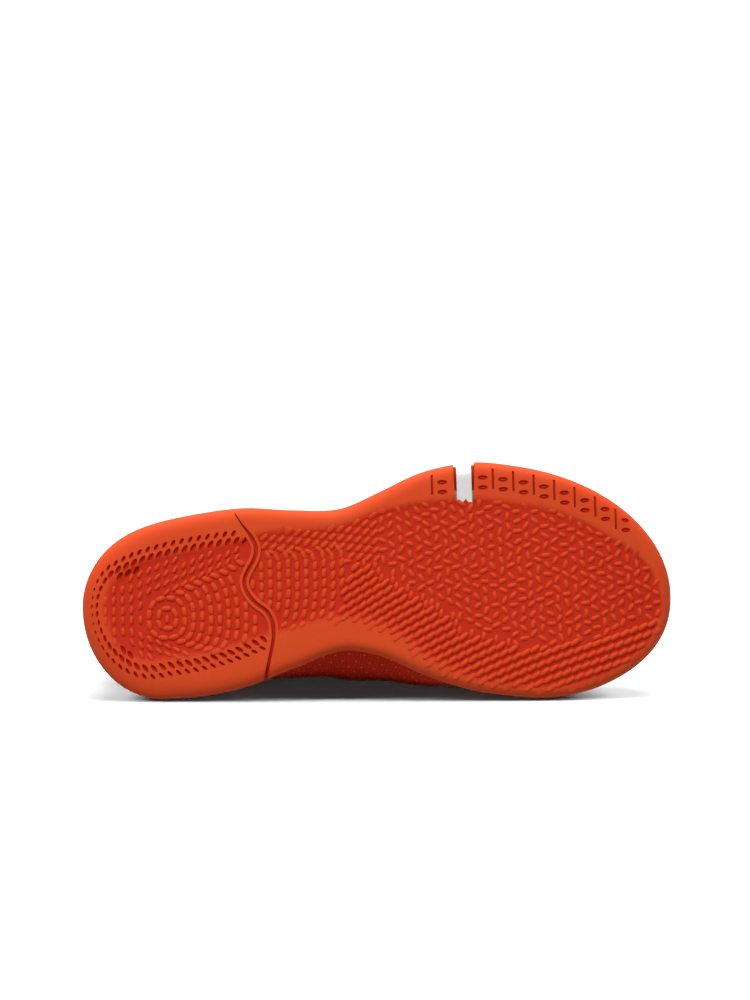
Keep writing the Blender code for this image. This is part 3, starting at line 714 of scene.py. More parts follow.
def threadFinish():
    look = threadLook
    made = Finish("thread", Roughness=look["roughness"])
    twist = made.noise(*look["twist"])
    made.set("Base Color", made.mix(twist, look["thread"], look["shade"]))
    made.bump(twist, *look["bump"])
    return made.material


rubber, foam, knit = rubberFinish(), foamFinish(), knitFinish()
laceCloth, thread = laceFinish(), threadFinish()
lining, padding, footbed = (clothFinish(name) for name in ("lining", "padding", "footbed"))
print("finishes ready")

# rubber cup

cupMesh = {
    "stations": 480, "bottomRings": 11, "fieldColumns": 40, "floorColumns": 8, "fieldMargin": 8.5,
    "cornerMargin": 2.0, "rimEdge": 0.6,
}
coreMesh = {"stations": 240, "columns": 4, "top": 26.0, "groundShare": 0.3}
cutterMesh = {"start": -8.0, "around": 16, "levels": 6, "probe": -60.0}
slotSizes = {
    "x": 194.5, "width": 9.2, "flare": 1.1, "taper": 1.2, "tab": 7.5, "length": 20.6, "top": 12.2,
    "beyond": 12.0, "looser": 0.4,
    "ragged": ((1.0, 0.4), (0.72, -0.3), (0.55, -2.0), (0.4, -0.2), (0.2, -1.8), (0.0, -1.2)),
}
grooveSizes = {
    "width": 1.7, "tip": 0.3, "tipRun": 7.0, "depth": 2.0, "top": 11.0, "steps": 110, "guideSteps": 400,
    "lipWidth": 1.7, "lipProud": 0.1, "lipGap": 0.02, "lipInset": 6.5, "lipFade": 4.0, "lipDrop": 2.2,
    "lipProfile": ((-0.5, 0.9), (-0.5, 0.25), (-0.34, 0.04), (0.0, 0.0), (0.34, 0.04), (0.5, 0.25),
                   (0.5, 0.9)),
}
flangeSizes = {
    "start": 178.3, "pitch": 10.25, "slits": (0, 3, 4, 5, 6, 7, 8, 9), "pairs": (0, 2, 3, 4, 5, 6, 7, 8, 9),
    "slitWidth": 1.1, "slitDepth": 2.0, "slitOver": 4.0, "slitInner": 13.7, "slitOuter": 3.4,
    "toeRun": (245.0, 277.0), "toeRise": 3.4, "ellipse": (5.2, 2.5, 1.9), "insets": (8.4, 13.4),
    "bean": (3.3, 1.0, 1.1), "beanSink": 0.05,
}
dimpleRows = SizeTable(  # outermost row of recessed dimples round the heel, and the step to the next row
    ("turn", "inset", "pitch"),
    (-71, 15.0, 4.0), (-62, 14.6, 3.8), (-52, 13.2, 4.0), (-44, 11.8, 4.2), (-37, 9.9, 4.2), (-24, 6.8, 4.0),
    (0, 5.2, 2.6), (18, 6.8, 3.6), (25, 9.4, 4.0), (34, 11.6, 4.1), (50, 12.8, 4.2), (64, 13.1, 3.9),
)
dimpleSizes = {
    "pitch": 4.4, "length": 5.0, "width": 2.4, "innerWidth": 2.1, "depth": 2.2, "rows": 3, "samples": 600,
    "thirdRow": {"lateral": (18, 30), "medial": (20, 29)}, "grooveRoom": 3.4, "backTurns": (20.0, 14.0),
    "backLess": 0.3, "outerLess": 0.25, "fan": 32.0, "fanReach": 16.0,
}
dimpleLean = SizeTable(  # degrees off upright on the inner side, flatter towards the front
    ("x", "inner"), (0, 24.0), (15, 26.0), (29, 35.0), (57, 50.0), (88, 63.0), (110, 63.0),
)
heelCentre = (43.3, 7.0)  # eye of the heel's tread


def cupShell():
    turn = allTurns(cupMesh["stations"])
    border = borderAt(turn)
    corner, lean, top = (edge(column, turn) for column in ("corner", "lean", "top"))
    corner = corner * sole["cornerSpread"]
    rings = []
    for share in np.linspace(0, 1, cupMesh["bottomRings"], endpoint=False):
        innermost = np.maximum(border + cupMesh["fieldMargin"], corner + cupMesh["cornerMargin"])
        inset = innermost * (1 - share) + corner * share
        sunk = sole["fieldDepth"] * fieldShare(turn, inset)
        rings.append(insetPoint(turn, inset, lambda x: ground(x) + sunk))
    rings.extend(sideRings(turn))
    radius = sole["rimRound"]
    for angle in rimAngles:
        inset = lean + radius * (1 - math.cos(angle))
        rings.append(insetPoint(turn, inset, top - radius * (1 - math.sin(angle))))
    rings.append(insetPoint(turn, cupInset(turn) - cupMesh["rimEdge"], top))
    rings.append(insetPoint(turn, cupInset(turn), top - cupMesh["rimEdge"]))
    rings.append(insetPoint(turn, cupInset(turn), lambda x: ground(x) + sole["cupFloor"]))
    rings = np.array(rings)
    shell = Shell()
    index = shell.grid(rings, closed=True)
    columns = cupMesh["fieldColumns"]
    shell.across(index[0], rings[0], lambda x: ground(x) + sole["fieldDepth"], columns, flip=True)
    shell.across(index[-1], rings[-1], lambda x: ground(x) + sole["cupFloor"], cupMesh["floorColumns"])
    return shell


def grooveCore():  # the cup's outside as a filled body, shrunk by the depth of the groove
    size, shrink = coreMesh, grooveSizes["depth"]
    share = size["groundShare"]
    rings = sideRings(allTurns(size["stations"]), shrink)
    shell = Shell()
    index = shell.grid(rings, closed=True)
    shell.across(index[0], rings[0], lambda x: ground(x) + shrink, size["columns"], flip=True)
    shell.across(index[-1], rings[-1], lambda x: size["top"] + ground(x) * share, size["columns"])
    return shell.piece("groove_core")


def standingLoops(plans, heights):
    return [np.column_stack((plan, np.full(len(plan), z))) for plan, z in zip(plans, heights)]


def prism(name, plan, topPlan, high):
    shell = Shell()
    shell.tube(standingLoops((plan, topPlan), (cutterMesh["start"], high)))
    return shell.piece(name)


def sideways(path):  # to the right of each point of a flat path
    run = unit(np.gradient(path, axis=0))
    return np.column_stack((run[:, 1], -run[:, 0]))


def groovePath(steps, offset=0.0):
    y = np.linspace(grooveLine.knots[0], grooveLine.knots[-1], steps + 1)
    path = np.column_stack((grooveLine.at("x", y), y))
    return path + sideways(path) * offset


def grooveRibbon():  # narrow at its outer end
    size = grooveSizes
    run = np.linspace(0, size["tipRun"], size["steps"] + 1)
    half = size["width"] / 2 * (size["tip"] + (1 - size["tip"]) * smoothStep(run))[:, None]
    return np.concatenate((groovePath(size["steps"], half), groovePath(size["steps"], -half)[::-1]))


def slotPlan(wider):  # flares outwards; its inner end is ragged, where the nubs of the tread reach over it
    size = slotSizes
    outer = slotBrink()
    inner, far = outer + size["length"], outer - size["beyond"]
    low, high = (size["x"] + side * (size["width"] / 2 + wider) for side in (-1, 1))
    wide = size["flare"] * (inner - far) / size["length"]
    ragged = [(low + (high - low) * share, inner + step) for share, step in size["ragged"]]
    return [(low - wide, far), (high + wide, far)] + ragged


def slotBrink():  # y of the outer edge at the slot
    turn = np.degrees(np.arccos(1 - 2 * slotSizes["x"] / sole["length"]))
    return float(outline(turn)[1])


def surfaceAt(tree, x, y):  # the cup's underside straight above a point of the floor
    spot, normal, _, _ = tree.ray_cast(Vector((x, y, cutterMesh["probe"])), Vector(upright))
    normal = np.array(normal)
    return np.array(spot), normal if normal[2] < 0 else -normal


def heading(angle):  # degrees with the toe to the right and the outer side of the sole up
    return np.stack((np.cos(np.radians(angle)), -np.sin(np.radians(angle)), np.zeros_like(angle)), axis=-1)


def framedAt(tree, x, y, angle):  # spot, and its directions along, across and out of the surface
    spot, normal = surfaceAt(tree, x, y)
    along = heading(angle)
    along = unit(along - normal * np.dot(along, normal))
    return spot, along, np.cross(normal, along), normal


def ovalCutter(shell, tree, x, y, angle, length, width, depth):
    spot, along, side, normal = framedAt(tree, x, y, angle)
    turns = circleAngles(cutterMesh["around"])
    rings = []
    for tilt in np.linspace(0, math.pi, cutterMesh["levels"] + 1)[1:-1]:
        flat = math.sin(tilt) / 2
        ring = along * (length * flat * np.cos(turns))[:, None]
        ring = ring + side * (width * flat * np.sin(turns))[:, None]
        rings.append(spot + ring + normal * (depth * math.cos(tilt)))
    shell.tube(rings)


groovePoints = groovePath(grooveSizes["guideSteps"])


def nearest(points, x, y):
    return float(np.min(np.hypot(points[:, 0] - x, points[:, 1] - y)))


def dimplePlaces():
    size = dimpleSizes
    turn = np.linspace(dimpleRows.knots[0], dimpleRows.knots[-1], size["samples"])
    for row in range(size["rows"]):
        path = insetPoint(turn, dimpleRows.at("inset", turn) + row * dimpleRows.at("pitch", turn), 0.0)
        walked = walk(path)
        for place in np.arange(size["pitch"] * (0.5 if row % 2 else 0.0), walked[-1], size["pitch"]):
            x, y, _ = follow(path, walked, place)
            at = np.interp(place, walked, turn)
            first, last = size["thirdRow"]["lateral" if at > 0 else "medial"]
            start, run = size["backTurns"]
            back = float(smoothStep((start - abs(at)) / run))  # smaller holes round the back of the heel
            if nearest(groovePoints, x, y) > size["grooveRoom"] and (row < 2 or first < abs(at) < last):
                yield x, y, 1 - size["backLess"] * back - size["outerLess"] * (row == 0)


def dimpleAngle(x, y):  # upright behind, fanned at the sides
    share = float(np.clip((heelCentre[1] - y) / dimpleSizes["fanReach"], -1, 1))
    return 90 - share * (dimpleSizes["fan"] if share > 0 else float(dimpleLean.at("inner", x)))


dimpleSpots = list(dimplePlaces())
dimplePoints = np.array(dimpleSpots)


def dimpleCutters(tree):
    size = dimpleSizes
    shell = Shell()
    for x, y, share in dimpleSpots:
        width = size["width"] if y < heelCentre[1] else size["innerWidth"]
        ovalCutter(shell, tree, x, y, dimpleAngle(x, y), size["length"] * share, width * share, size["depth"])
    return shell.piece("dimple_cutter")


def flangeSpots():
    size = flangeSizes
    for place in size["pairs"]:
        x = size["start"] + size["pitch"] * (place + 0.5)
        for inset in size["insets"]:
            rise = size["toeRise"] * float(np.interp(x, size["toeRun"], (0, 1))) ** 2
            yield x, inset - rise + lateralEdge(x)


def flangeCutters(tree):
    size = flangeSizes
    shell = Shell()
    for x, y in flangeSpots():
        ovalCutter(shell, tree, x, y, 0.0, *size["ellipse"])
    half = size["slitWidth"] / 2
    for place in size["slits"]:
        x = size["start"] + size["pitch"] * place
        inner, outer = lateralEdge(x) + size["slitInner"], lateralEdge(x) + size["slitOuter"]
        plan = ((x - half, outer), (x + half, outer), (x + half, inner), (x - half, inner))
        level = surfaceAt(tree, x, inner)[0][2]
        shell.tube(standingLoops((plan, plan), (level - size["slitOver"], level + size["slitDepth"])))
    return shell.piece("flange_cutter")


def makeOutsole():
    shell = cupShell()
    tree = shell.tree()
    cup = shell.piece("outsole_cup", rubber)
    allFaces(cup, bmesh.ops.triangulate)
    slot = slotSizes
    slotCutter = prism("slot_cutter", slotPlan(slot["looser"]), slotPlan(-slot["taper"] / 2), slot["top"])
    ribbon = grooveRibbon()
    groove = prism("groove_cutter", ribbon, ribbon, grooveSizes["top"])
    core = grooveCore()
    cutBy(groove, core)
    bake(groove)
    cutters = [slotCutter, groove, flangeCutters(tree), dimpleCutters(tree)]
    for cutter in cutters:
        allFaces(cutter, bmesh.ops.triangulate)
        cutBy(cup, cutter, "MANIFOLD")
    bake(cup)
    discard(core, *cutters)
    paintFieldShade(cup)
    dress(cup, "rubber", "outsole")
    print("outsole cup", len(cup.data.polygons), "faces")
    return tree


guide = {"count": 1440, "chunk": 2000}
guideTurns = allTurns(guide["count"])
guideOutline = outline(guideTurns)


def insetOf(points):  # distance in from the outline, and the turn of the nearest point on it
    insets, turns = [], []
    for chunk in np.array_split(np.asarray(points, float)[:, :2], max(1, len(points) // guide["chunk"])):
        distance = np.linalg.norm(chunk[:, None] - guideOutline[None], axis=-1)
        nearestTurn = distance.argmin(axis=1)
        x = np.clip(chunk[:, 0], 0, sole["length"])
        within = (-halfWidth(x, "lateral") < chunk[:, 1]) & (chunk[:, 1] < halfWidth(x, "medial"))
        within &= x == chunk[:, 0]
        insets.append(distance[np.arange(len(chunk)), nearestTurn] * np.where(within, 1, -1))
        turns.append(guideTurns[nearestTurn])
    return np.concatenate(insets), np.concatenate(turns)


fieldShade = {  # where the underside counts as sunk, and how soon its painted shade starts
    "inset": 1.5, "height": 7.0, "depth": 4.0, "steep": 1.7, "most": 2.0,
    "lit": 0.45, "litStart": (262.0, 30.0), "litEnd": (358.0, 20.0),
}


def paintFieldShade(thing):  # the sunk parts of the rubber carry painted shade, darker still in the cuts
    size = fieldShade
    data = np.zeros(len(thing.data.vertices) * 3, np.float32)
    thing.data.vertices.foreach_get("co", data)
    points = toStanding(data.reshape(-1, 3))
    inset, turn = insetOf(points)
    height = points[:, 2] - ground(points[:, 0])
    depth = height - cornerLift(turn, inset)
    under = (inset > size["inset"]) & (height < size["height"]) & (depth < size["depth"])
    shadeShare = depth / sole["fieldDepth"]
    slope = 4 * np.clip(shadeShare, 0, 1) * (1 - np.clip(shadeShare, 0, 1))
    start, end = size["litStart"], size["litEnd"]
    lit = smoothStep((turn - start[0]) / start[1]) * smoothStep((end[0] - turn) / end[1])
    ramp = np.clip(shadeShare * size["steep"], 0, 1)
    ramp = ramp + size["lit"] * slope * lit  # more painted shade on the inner heel's slope, where it catches light
    shadeShare = np.where(shadeShare < 1, ramp, np.minimum(shadeShare, size["most"]))
    setField(thing, "field", np.where(under, shadeShare, 0.0))


underside = makeOutsole()

# tread

heelTread = {
    "power": 2.4, "rings": 12, "wholeRings": 2, "arcStep": 0.5, "step": 4.35, "probe": 0.6, "eye": (4.6, 2.2),
    "nub": {"length": 5.6, "width": 2.8, "gap": -0.25}, "fades": (2.0, 0.2), "tall": 1.05,
}
heelRings = SizeTable(  # half sizes of the rings of nubs; from the third on each stands a step further ahead
    ("ring", "ahead", "behind", "outer", "inner"),
    (1, 4.5, 4.3, 5.4, 4.6), (2, 9.0, 9.1, 10.7, 9.4), (3, 9.0, 9.1, 13.4, 11.6), (4, 9.1, 9.1, 16.1, 13.4),
    (6, 9.2, 9.1, 20.0, 16.0), (8, 9.3, 9.1, 23.5, 18.5), (12, 9.6, 9.1, 33.0, 22.0),
)
heelStrokes = {  # thin strokes in columns behind the rings and in slanting rows beside them
    "length": 4.6, "width": 2.0, "pitch": 4.45, "columns": (-9, 14), "rows": 8, "behind": 19.0,
    "axisEnd": -12.0, "room": 3.0, "upright": (52.0, 2.0, 8.0), "settle": 11.0, "far": (18.0, 8.0),
    "fan": 32.0,
    "sides": (
        {"sign": -1, "first": 4.6, "step": 5.4, "slope": 0.47, "ease": 0.03, "lean": 44.0},
        {"sign": 1, "first": 5.7, "step": 5.0, "slope": 0.42, "ease": 0.06, "lean": 54.0},
    ),
}
columnTread = {  # upright columns of the waist, with a bent head and a foot each
    "first": 86.7, "pitch": 4.5, "count": 11, "top": -19.6, "stagger": 1.3, "ends": (9.0, -5.0),
    "length": 5.3, "width": 2.7, "gap": -0.2, "late": (112.0, 22.0), "low": (-10.0, 18.0),
    "angle": 88.0, "lowTurn": 20.0, "lateTurn": 18.0, "lowShift": 1.6,
    "heads": (
        {"ahead": -1.1, "late": 1.0, "aside": -4.3, "angle": 118.0, "lateTurn": 30.0, "size": 1.0},
        {"ahead": -3.4, "late": 2.0, "aside": -7.0, "angle": 158.0, "lateTurn": 40.0, "size": 0.9},
    ),
    "foot": {"ahead": -2.6, "aside": 0.2, "angle": 40.0, "length": 0.8, "width": 0.85},
}
rowTread = {  # slanted rows along the outer side of the waist
    "from": (110.0, -35.0), "places": (-20, 40), "angle": 43.0, "pitch": 3.4, "length": 5.2, "width": 2.4,
    "gap": 0.3, "limit": -26.5, "limitRise": 6.0, "limitRun": (130.0, 10.0), "reach": 152.0,
    "fades": (0.8, 0.8), "tall": 0.9,
}
ropeTread = {  # ropes of overlapping nubs, and a grain across the end of each
    "width": 2.7, "length": 6.6, "step": 5.0, "twist": 12.0, "angles": (30.0, 19.0), "span": (140.0, 262.0),
    "spacing": (4.3, 4.55), "through": (170.6, 12.8), "ropes": (-16, 32), "samples": (120, 298, 400),
    "stagger": (3, 1.6), "start": {"x": 135.2, "y": -15.0, "slant": 0.26}, "fades": (2.4, 1.2), "tall": 1.3,
    "end": {"reach": 215.0, "ahead": 4.3, "aside": -1.8, "angle": 82.0, "length": 4.7, "width": 2.4},
}
ropeLimit = SizeTable(  # outer limit of the ropes
    ("x", "y"), (128, -19), (146, -17.5), (153, -9.5), (161, -5.5), (167, -1), (175, 4.4), (181, 9),
    (189, 15.2), (198, 20.4), (212, 24.8), (228, 26.3), (252, 22.8), (263, 20), (283, 14.4), (298, 9),
)
grainTread = {  # loose grains over the ball and toe
    "length": 5.0, "lengths": (0.9, 1.08), "width": 2.5, "from": (230.4, -17.8), "pitch": 4.55,
    "rowPitch": 4.93, "slant": 0.043, "columns": (-26, 16), "rows": (-10, 13), "jitter": 0.25, "room": 2.9,
    "overlap": 4.5, "seed": 11, "angles": (30, -30, 56, -60, 88, 4), "swing": 12, "fades": (0.3, 0.3),
    "tall": 0.9, "slope": 1.4,
}
# the nubs take a small share of the sunk field's painted shade
nubLook = {
    "around": 16, "levels": (-20, 6, 30, 52, 72), "blunt": 0.66, "slope": 0.75, "shadeShare": 0.25, "smooth": 60.0,
    "toeFade": (240.0, 275.0), "proud": 0.14, "proudRun": 2.5, "brim": 0.6, "brimRun": 4.5, "brimFade": 1.0,
    "least": 0.2, "grooveRoom": 3.6, "dimpleRoom": 2.1, "slotAside": 1.0, "slotShort": 0.5,
}
# the beans in the flange recesses take most of the sunk field's painted shade, the groove lips none
trimLook = {"flange_beans": {"smooth": 60, "shadeShare": 0.7}, "groove_lips": {"smooth": 50, "shadeShare": 0.0}}


def nubForm(slope):  # blunt bean, flat below; a larger slope gives it softer flanks
    around = nubLook["around"]
    angle = circleAngles(around)
    plan = np.column_stack((bent(np.cos(angle), nubLook["blunt"]), np.sin(angle)))
    rings = []
    for level in np.radians(nubLook["levels"]):
        flat = math.cos(level) ** slope
        rings.append(np.column_stack((plan * flat, np.full(around, math.sin(level)))))
    shell = Shell()
    index = shell.grid(np.array(rings), closed=True)
    shell.cap(index[0], flip=True)
    tip = shell.add(np.array([upright]))
    for i in range(around):
        shell.faces.append([int(index[-1, i]), int(index[-1, (i + 1) % around]), int(tip[0])])
    return shell.stacked(), shell.faces


def nub(x, y, angle, length, width):
    return {"x": float(x), "y": float(y), "angle": float(angle), "length": length, "width": width}


def spotsOf(nubs):
    return np.array([(n["x"], n["y"]) for n in nubs])


def keepNubs(nubs, size):  # nubs on the tread field; fades say how far over it, in the waist and at the toe
    kept = []
    spots = spotsOf(nubs)
    inset, turn = insetOf(spots)
    look, slot = nubLook, slotSizes
    slotEnd = lateralEdge(slot["x"]) + slot["length"] - look["slotShort"]
    fades = np.interp(spots[:, 0], look["toeFade"], size["fades"])
    for n, room, share, fade in zip(nubs, inset - borderAt(turn) + fades, fieldShare(turn, inset), fades):
        inSlot = abs(n["x"] - slot["x"]) < slot["width"] / 2 + look["slotAside"] and n["y"] < slotEnd
        x, y = heading(n["angle"])[:2] * n["length"] / 2
        holes = min(nearest(dimplePoints, n["x"] + x * end, n["y"] + y * end) for end in (-1, 0, 1))
        crowded = nearest(groovePoints, n["x"], n["y"]) < look["grooveRoom"] or holes < look["dimpleRoom"]
        if inSlot or crowded or room < 0:
            continue
        proud = look["proud"] * float(smoothStep(room / look["proudRun"]))
        n["height"] = (sole["fieldDepth"] * float(share) + proud) * size["tall"]
        if fade > look["brimFade"]:
            n["height"] = max(n["height"], look["brim"] * float(smoothStep(room / look["brimRun"])))
        if n["height"] > look["least"]:
            kept.append(n)
    return kept


def rubberTrim(name, shell, smooth, shadeShare):
    thing = shell.piece(name, rubber, smooth)
    # the piece's share of the sunk field's painted shade
    setField(thing, "field", np.full(len(thing.data.vertices), shadeShare))
    dress(thing, "rubber")


def layNubs(name, nubs, slope=nubLook["slope"]):
    form, faces = nubForm(slope)
    shell = Shell()
    for n in nubs:
        spot, along, side, normal = framedAt(underside, n["x"], n["y"], n["angle"])
        rows = np.array((along * n["length"] / 2, side * n["width"] / 2, normal * n["height"]))
        shell.merge(spot + form @ rows, faces)
    rubberTrim(name, shell, nubLook["smooth"], nubLook["shadeShare"])
    print(name, len(nubs), "nubs")


def ringPath(ring):  # whole rings round the eye, then arcs that open backwards
    size = heelTread
    reach = {name: float(heelRings.at(name, ring)) for name in ("ahead", "behind", "outer", "inner")}
    span = 180 if ring <= size["wholeRings"] else 90
    phi = np.radians(np.arange(span, -span - size["arcStep"], -size["arcStep"]))
    a = np.where(np.cos(phi) > 0, reach["ahead"], reach["behind"])
    b = np.where(np.sin(phi) > 0, reach["outer"], reach["inner"])
    power = size["power"]
    r = (np.abs(np.cos(phi) / a) ** power + np.abs(np.sin(phi) / b) ** power) ** (-1 / power)
    ahead = size["step"] * max(0, ring - size["wholeRings"])
    return np.column_stack((heelCentre[0] + ahead + r * np.cos(phi), heelCentre[1] - r * np.sin(phi)))


def ringNubs():  # an upright nub in the middle and fat nubs ring by ring round it
    size = heelTread
    bead = size["nub"]
    nubs = [nub(*heelCentre, 90, *size["eye"])]
    for ring in range(1, size["rings"] + 1):
        path = ringPath(ring)
        walked = walk(path)
        count = round(walked[-1] / (bead["length"] + bead["gap"]))
        for place in (np.arange(count) + 0.5) / count * walked[-1]:
            run = follow(path, walked, place + size["probe"]) - follow(path, walked, place - size["probe"])
            angle = math.degrees(math.atan2(-run[1], run[0]))
            nubs.append(nub(*follow(path, walked, place), angle, bead["length"], bead["width"]))
    return nubs


def strokeNubs(others):
    size = heelStrokes
    cx, cy = heelCentre
    taken = spotsOf(others)
    start, growth, least = size["upright"]
    nubs = []
    for column in range(*size["columns"]):
        ahead = size["pitch"] * column
        marks = [(0.0, 90.0)] if ahead < size["axisEnd"] else []
        for side in size["sides"]:
            for row in range(size["rows"]):
                out = side["first"] + side["step"] * row
                out += (side["slope"] - side["ease"] * row) * max(0.0, ahead + size["behind"])
                lean = min(max(start + growth * ahead, least), side["lean"])
                lean = lean * float(smoothStep(out / size["settle"]))
                lean += (size["fan"] - lean) * float(smoothStep((out - size["far"][0]) / size["far"][1]))
                marks.append((side["sign"] * out, 90 + side["sign"] * lean))
        for aside, angle in marks:
            if nearest(taken, cx + ahead, cy + aside) > size["room"]:
                nubs.append(nub(cx + ahead, cy + aside, angle, size["length"], size["width"]))
    return nubs


def beforeGroove(n):  # on the heel's side of the groove
    return n["x"] < float(grooveLine.at("x", n["y"]))


def heelNubs():
    nubs = ringNubs()
    nubs += strokeNubs(nubs)
    return [n for n in nubs if beforeGroove(n)]


def columnNubs():
    size, foot = columnTread, columnTread["foot"]
    length, width = size["length"], size["width"]
    nubs = []
    for i in range(size["count"]):
        x = size["first"] + size["pitch"] * i
        y = size["top"] + (i % 2) * size["stagger"]
        last = i == size["count"] - 1
        late = float(smoothStep((x - size["late"][0]) / size["late"][1]))  # those by the ropes lean to them
        for head in size["heads"]:
            angle = head["angle"] - head["lateTurn"] * late
            spot = (x + head["ahead"] + head["late"] * late, y + head["aside"])
            nubs.append(nub(*spot, angle, length * head["size"], width * head["size"]))
        while y < size["ends"][last]:
            low = float(smoothStep((y - size["low"][0]) / size["low"][1]))
            angle = size["angle"] - size["lowTurn"] * low - size["lateTurn"] * late
            nubs.append(nub(x - size["lowShift"] * low * low, y, angle, length, width))
            y += length + size["gap"]
        if not last:
            spot = (x + foot["ahead"], y + foot["aside"])
            nubs.append(nub(*spot, foot["angle"], length * foot["length"], width * foot["width"]))
    return nubs


def rowLimit(x):  # inner limit of the slanted rows
    start, run = rowTread["limitRun"]
    return rowTread["limit"] + rowTread["limitRise"] * smoothStep((np.asarray(x) - start) / run)


def rowNubs():
    size = rowTread
    run = heading(size["angle"])[:2]
    across = np.array((-run[1], run[0]))
    nubs = []
    for i in range(*size["places"]):
        for k in range(*size["places"]):
            spot = np.array(size["from"]) + across * i * size["pitch"]
            spot = spot + run * (k + 0.5 * (i % 2)) * (size["length"] + size["gap"])
            if spot[1] < rowLimit(spot[0]) and spot[0] < size["reach"]:
                nubs.append(nub(*spot, size["angle"], size["length"], size["width"]))
    return nubs


def ropeNubs():  # fanned out over the inner side of the forefoot
    size, start, end = ropeTread, ropeTread["start"], ropeTread["end"]
    x = np.linspace(*size["samples"])
    angle = np.interp(x, size["span"], size["angles"])
    spacing = np.interp(x, size["span"], size["spacing"])
    fall = -np.cumsum(np.tan(np.radians(angle))) * (x[1] - x[0])
    fall = fall - np.interp(size["through"][0], x, fall) + size["through"][1]
    cycle, shift = size["stagger"]
    nubs, ends = [], []
    for k in range(*size["ropes"]):
        path = np.column_stack((x, fall + k * spacing))
        walked = walk(path)
        rope = []
        for place in np.arange((k % cycle) * shift, walked[-1], size["step"]):
            px, py = follow(path, walked, place)
            if px > start["x"] - start["slant"] * (py - start["y"]) and py > float(ropeLimit.at("y", px)):
                lean = float(np.interp(px, x, angle)) + size["twist"]
                rope.append(nub(px, py, lean, size["length"], size["width"]))
        nubs += rope
        if rope and rope[-1]["x"] < end["reach"]:
            spot = (rope[-1]["x"] + end["ahead"], rope[-1]["y"] + end["aside"])
            ends.append(nub(*spot, end["angle"], end["length"], end["width"]))
    return nubs, ends


def grainNubs(others):  # in even columns, each turned off its neighbour
    size = grainTread
    draw = random.Random(size["seed"])
    startX, startY = size["from"]
    kinds = len(size["angles"])
    spots, angles, kind = [], [], 0
    for column in range(*size["columns"]):
        for row in range(*size["rows"]):
            y = startY + size["rowPitch"] * (row + 0.5 * (column % 2))
            x = startX + size["pitch"] * column + size["slant"] * (y - startY)
            spots.append((x + draw.uniform(-1, 1) * size["jitter"], y + draw.uniform(-1, 1) * size["jitter"]))
            kind = (kind + draw.randrange(1, kinds)) % kinds
            angles.append(size["angles"][kind] + draw.uniform(-1, 1) * size["swing"])
    spots, taken = np.array(spots), spotsOf(others)
    free = (spots[:, 0] < sole["length"]) & (spots[:, 1] < ropeLimit.at("y", spots[:, 0]) + size["overlap"])
    free &= (spots[:, 1] > rowLimit(spots[:, 0])) | (spots[:, 0] > rowTread["reach"])
    free &= np.linalg.norm(spots[:, None] - taken[None], axis=-1).min(axis=1) > size["room"]
    return [nub(*spot, angle, size["length"] * draw.uniform(*size["lengths"]), size["width"])
            for spot, angle in zip(spots[free], np.array(angles)[free])]


def makeTread():
    allRopes, ends = ropeNubs()
    waist = [n for n in columnNubs() + rowNubs() if not beforeGroove(n)]
    ropes = keepNubs(allRopes, ropeTread)
    waist = keepNubs(waist, rowTread)
    grains = keepNubs(ends + grainNubs(ropes + waist + ends), grainTread)
    layNubs("tread_heel", keepNubs(heelNubs(), heelTread))
    layNubs("tread_waist", waist)
    layNubs("tread_ribs", ropes)
    layNubs("tread_grains", grains, grainTread["slope"])


def flangeBeans():  # a low bean in each oval recess of the flange
    size = flangeSizes
    form, faces = nubForm(nubLook["slope"])
    length, width, height = size["bean"]
    shell = Shell()
    for x, y in flangeSpots():
        spot, along, side, normal = framedAt(underside, x, y, 0.0)
        rows = np.array((along * length / 2, side * width / 2, normal * height))
        shell.merge(spot - normal * (size["ellipse"][2] + size["beanSink"]) + form @ rows, faces)
    return shell


def grooveLips():  # a raised lip along each side of the groove, over the sunk field
    size = grooveSizes
    offset = size["width"] / 2 + size["lipWidth"] / 2 + size["lipGap"]
    shell = Shell()
    for side in (-1, 1):
        path = groovePath(size["steps"] * 2, side * offset)
        inset, _ = insetOf(path)
        path, inset = path[inset > size["lipInset"]], inset[inset > size["lipInset"]]
        across = sideways(path)
        proud = size["lipProud"] * smoothStep((inset - size["lipInset"]) / size["lipFade"])
        rows = []
        for place, drop in size["lipProfile"]:
            spots = path + across * place * size["lipWidth"]
            rows.append(np.column_stack((spots, ground(path[:, 0]) - proud + drop * size["lipDrop"])))
        shell.tube(np.array(rows).transpose(1, 0, 2))
    return shell


makeTread()
rubberTrim("flange_beans", flangeBeans(), **trimLook["flange_beans"])
rubberTrim("groove_lips", grooveLips(), **trimLook["groove_lips"])
print("tread done")

# foam core, with the tab that shows in the slot

foamMesh = {
    "stations": 160, "columns": 8, "rounding": 0.6, "smooth": 40.0, "tabSteps": 6,
    "tabProfile": ((9.0, 1.6), (6.2, 1.7), (5.4, 2.0), (4.9, 2.6), (1.2, 8.2), (0.8, 9.4), (0.6, 11.8)),
    "tabTop": ((6.0, 0.5), (0.0, 3.0)),
}


def slab(stations, inset, bottom, top, rounding, columns):
    turn = allTurns(stations)
    rings = [insetPoint(turn, inset(turn), height) for height in (bottom, lambda x: top(x) - rounding)]
    for angle in rimAngles:
        shift, lift = rounding * (1 - math.cos(angle)), rounding * (1 - math.sin(angle))
        rings.append(insetPoint(turn, inset(turn) + shift, lambda x: top(x) - lift))
    rings = np.array(rings)
    shell = Shell()
    index = shell.grid(rings, closed=True)
    shell.across(index[0], rings[0], bottom, columns, flip=True)
    shell.across(index[-1], rings[-1], top, columns)
    return shell


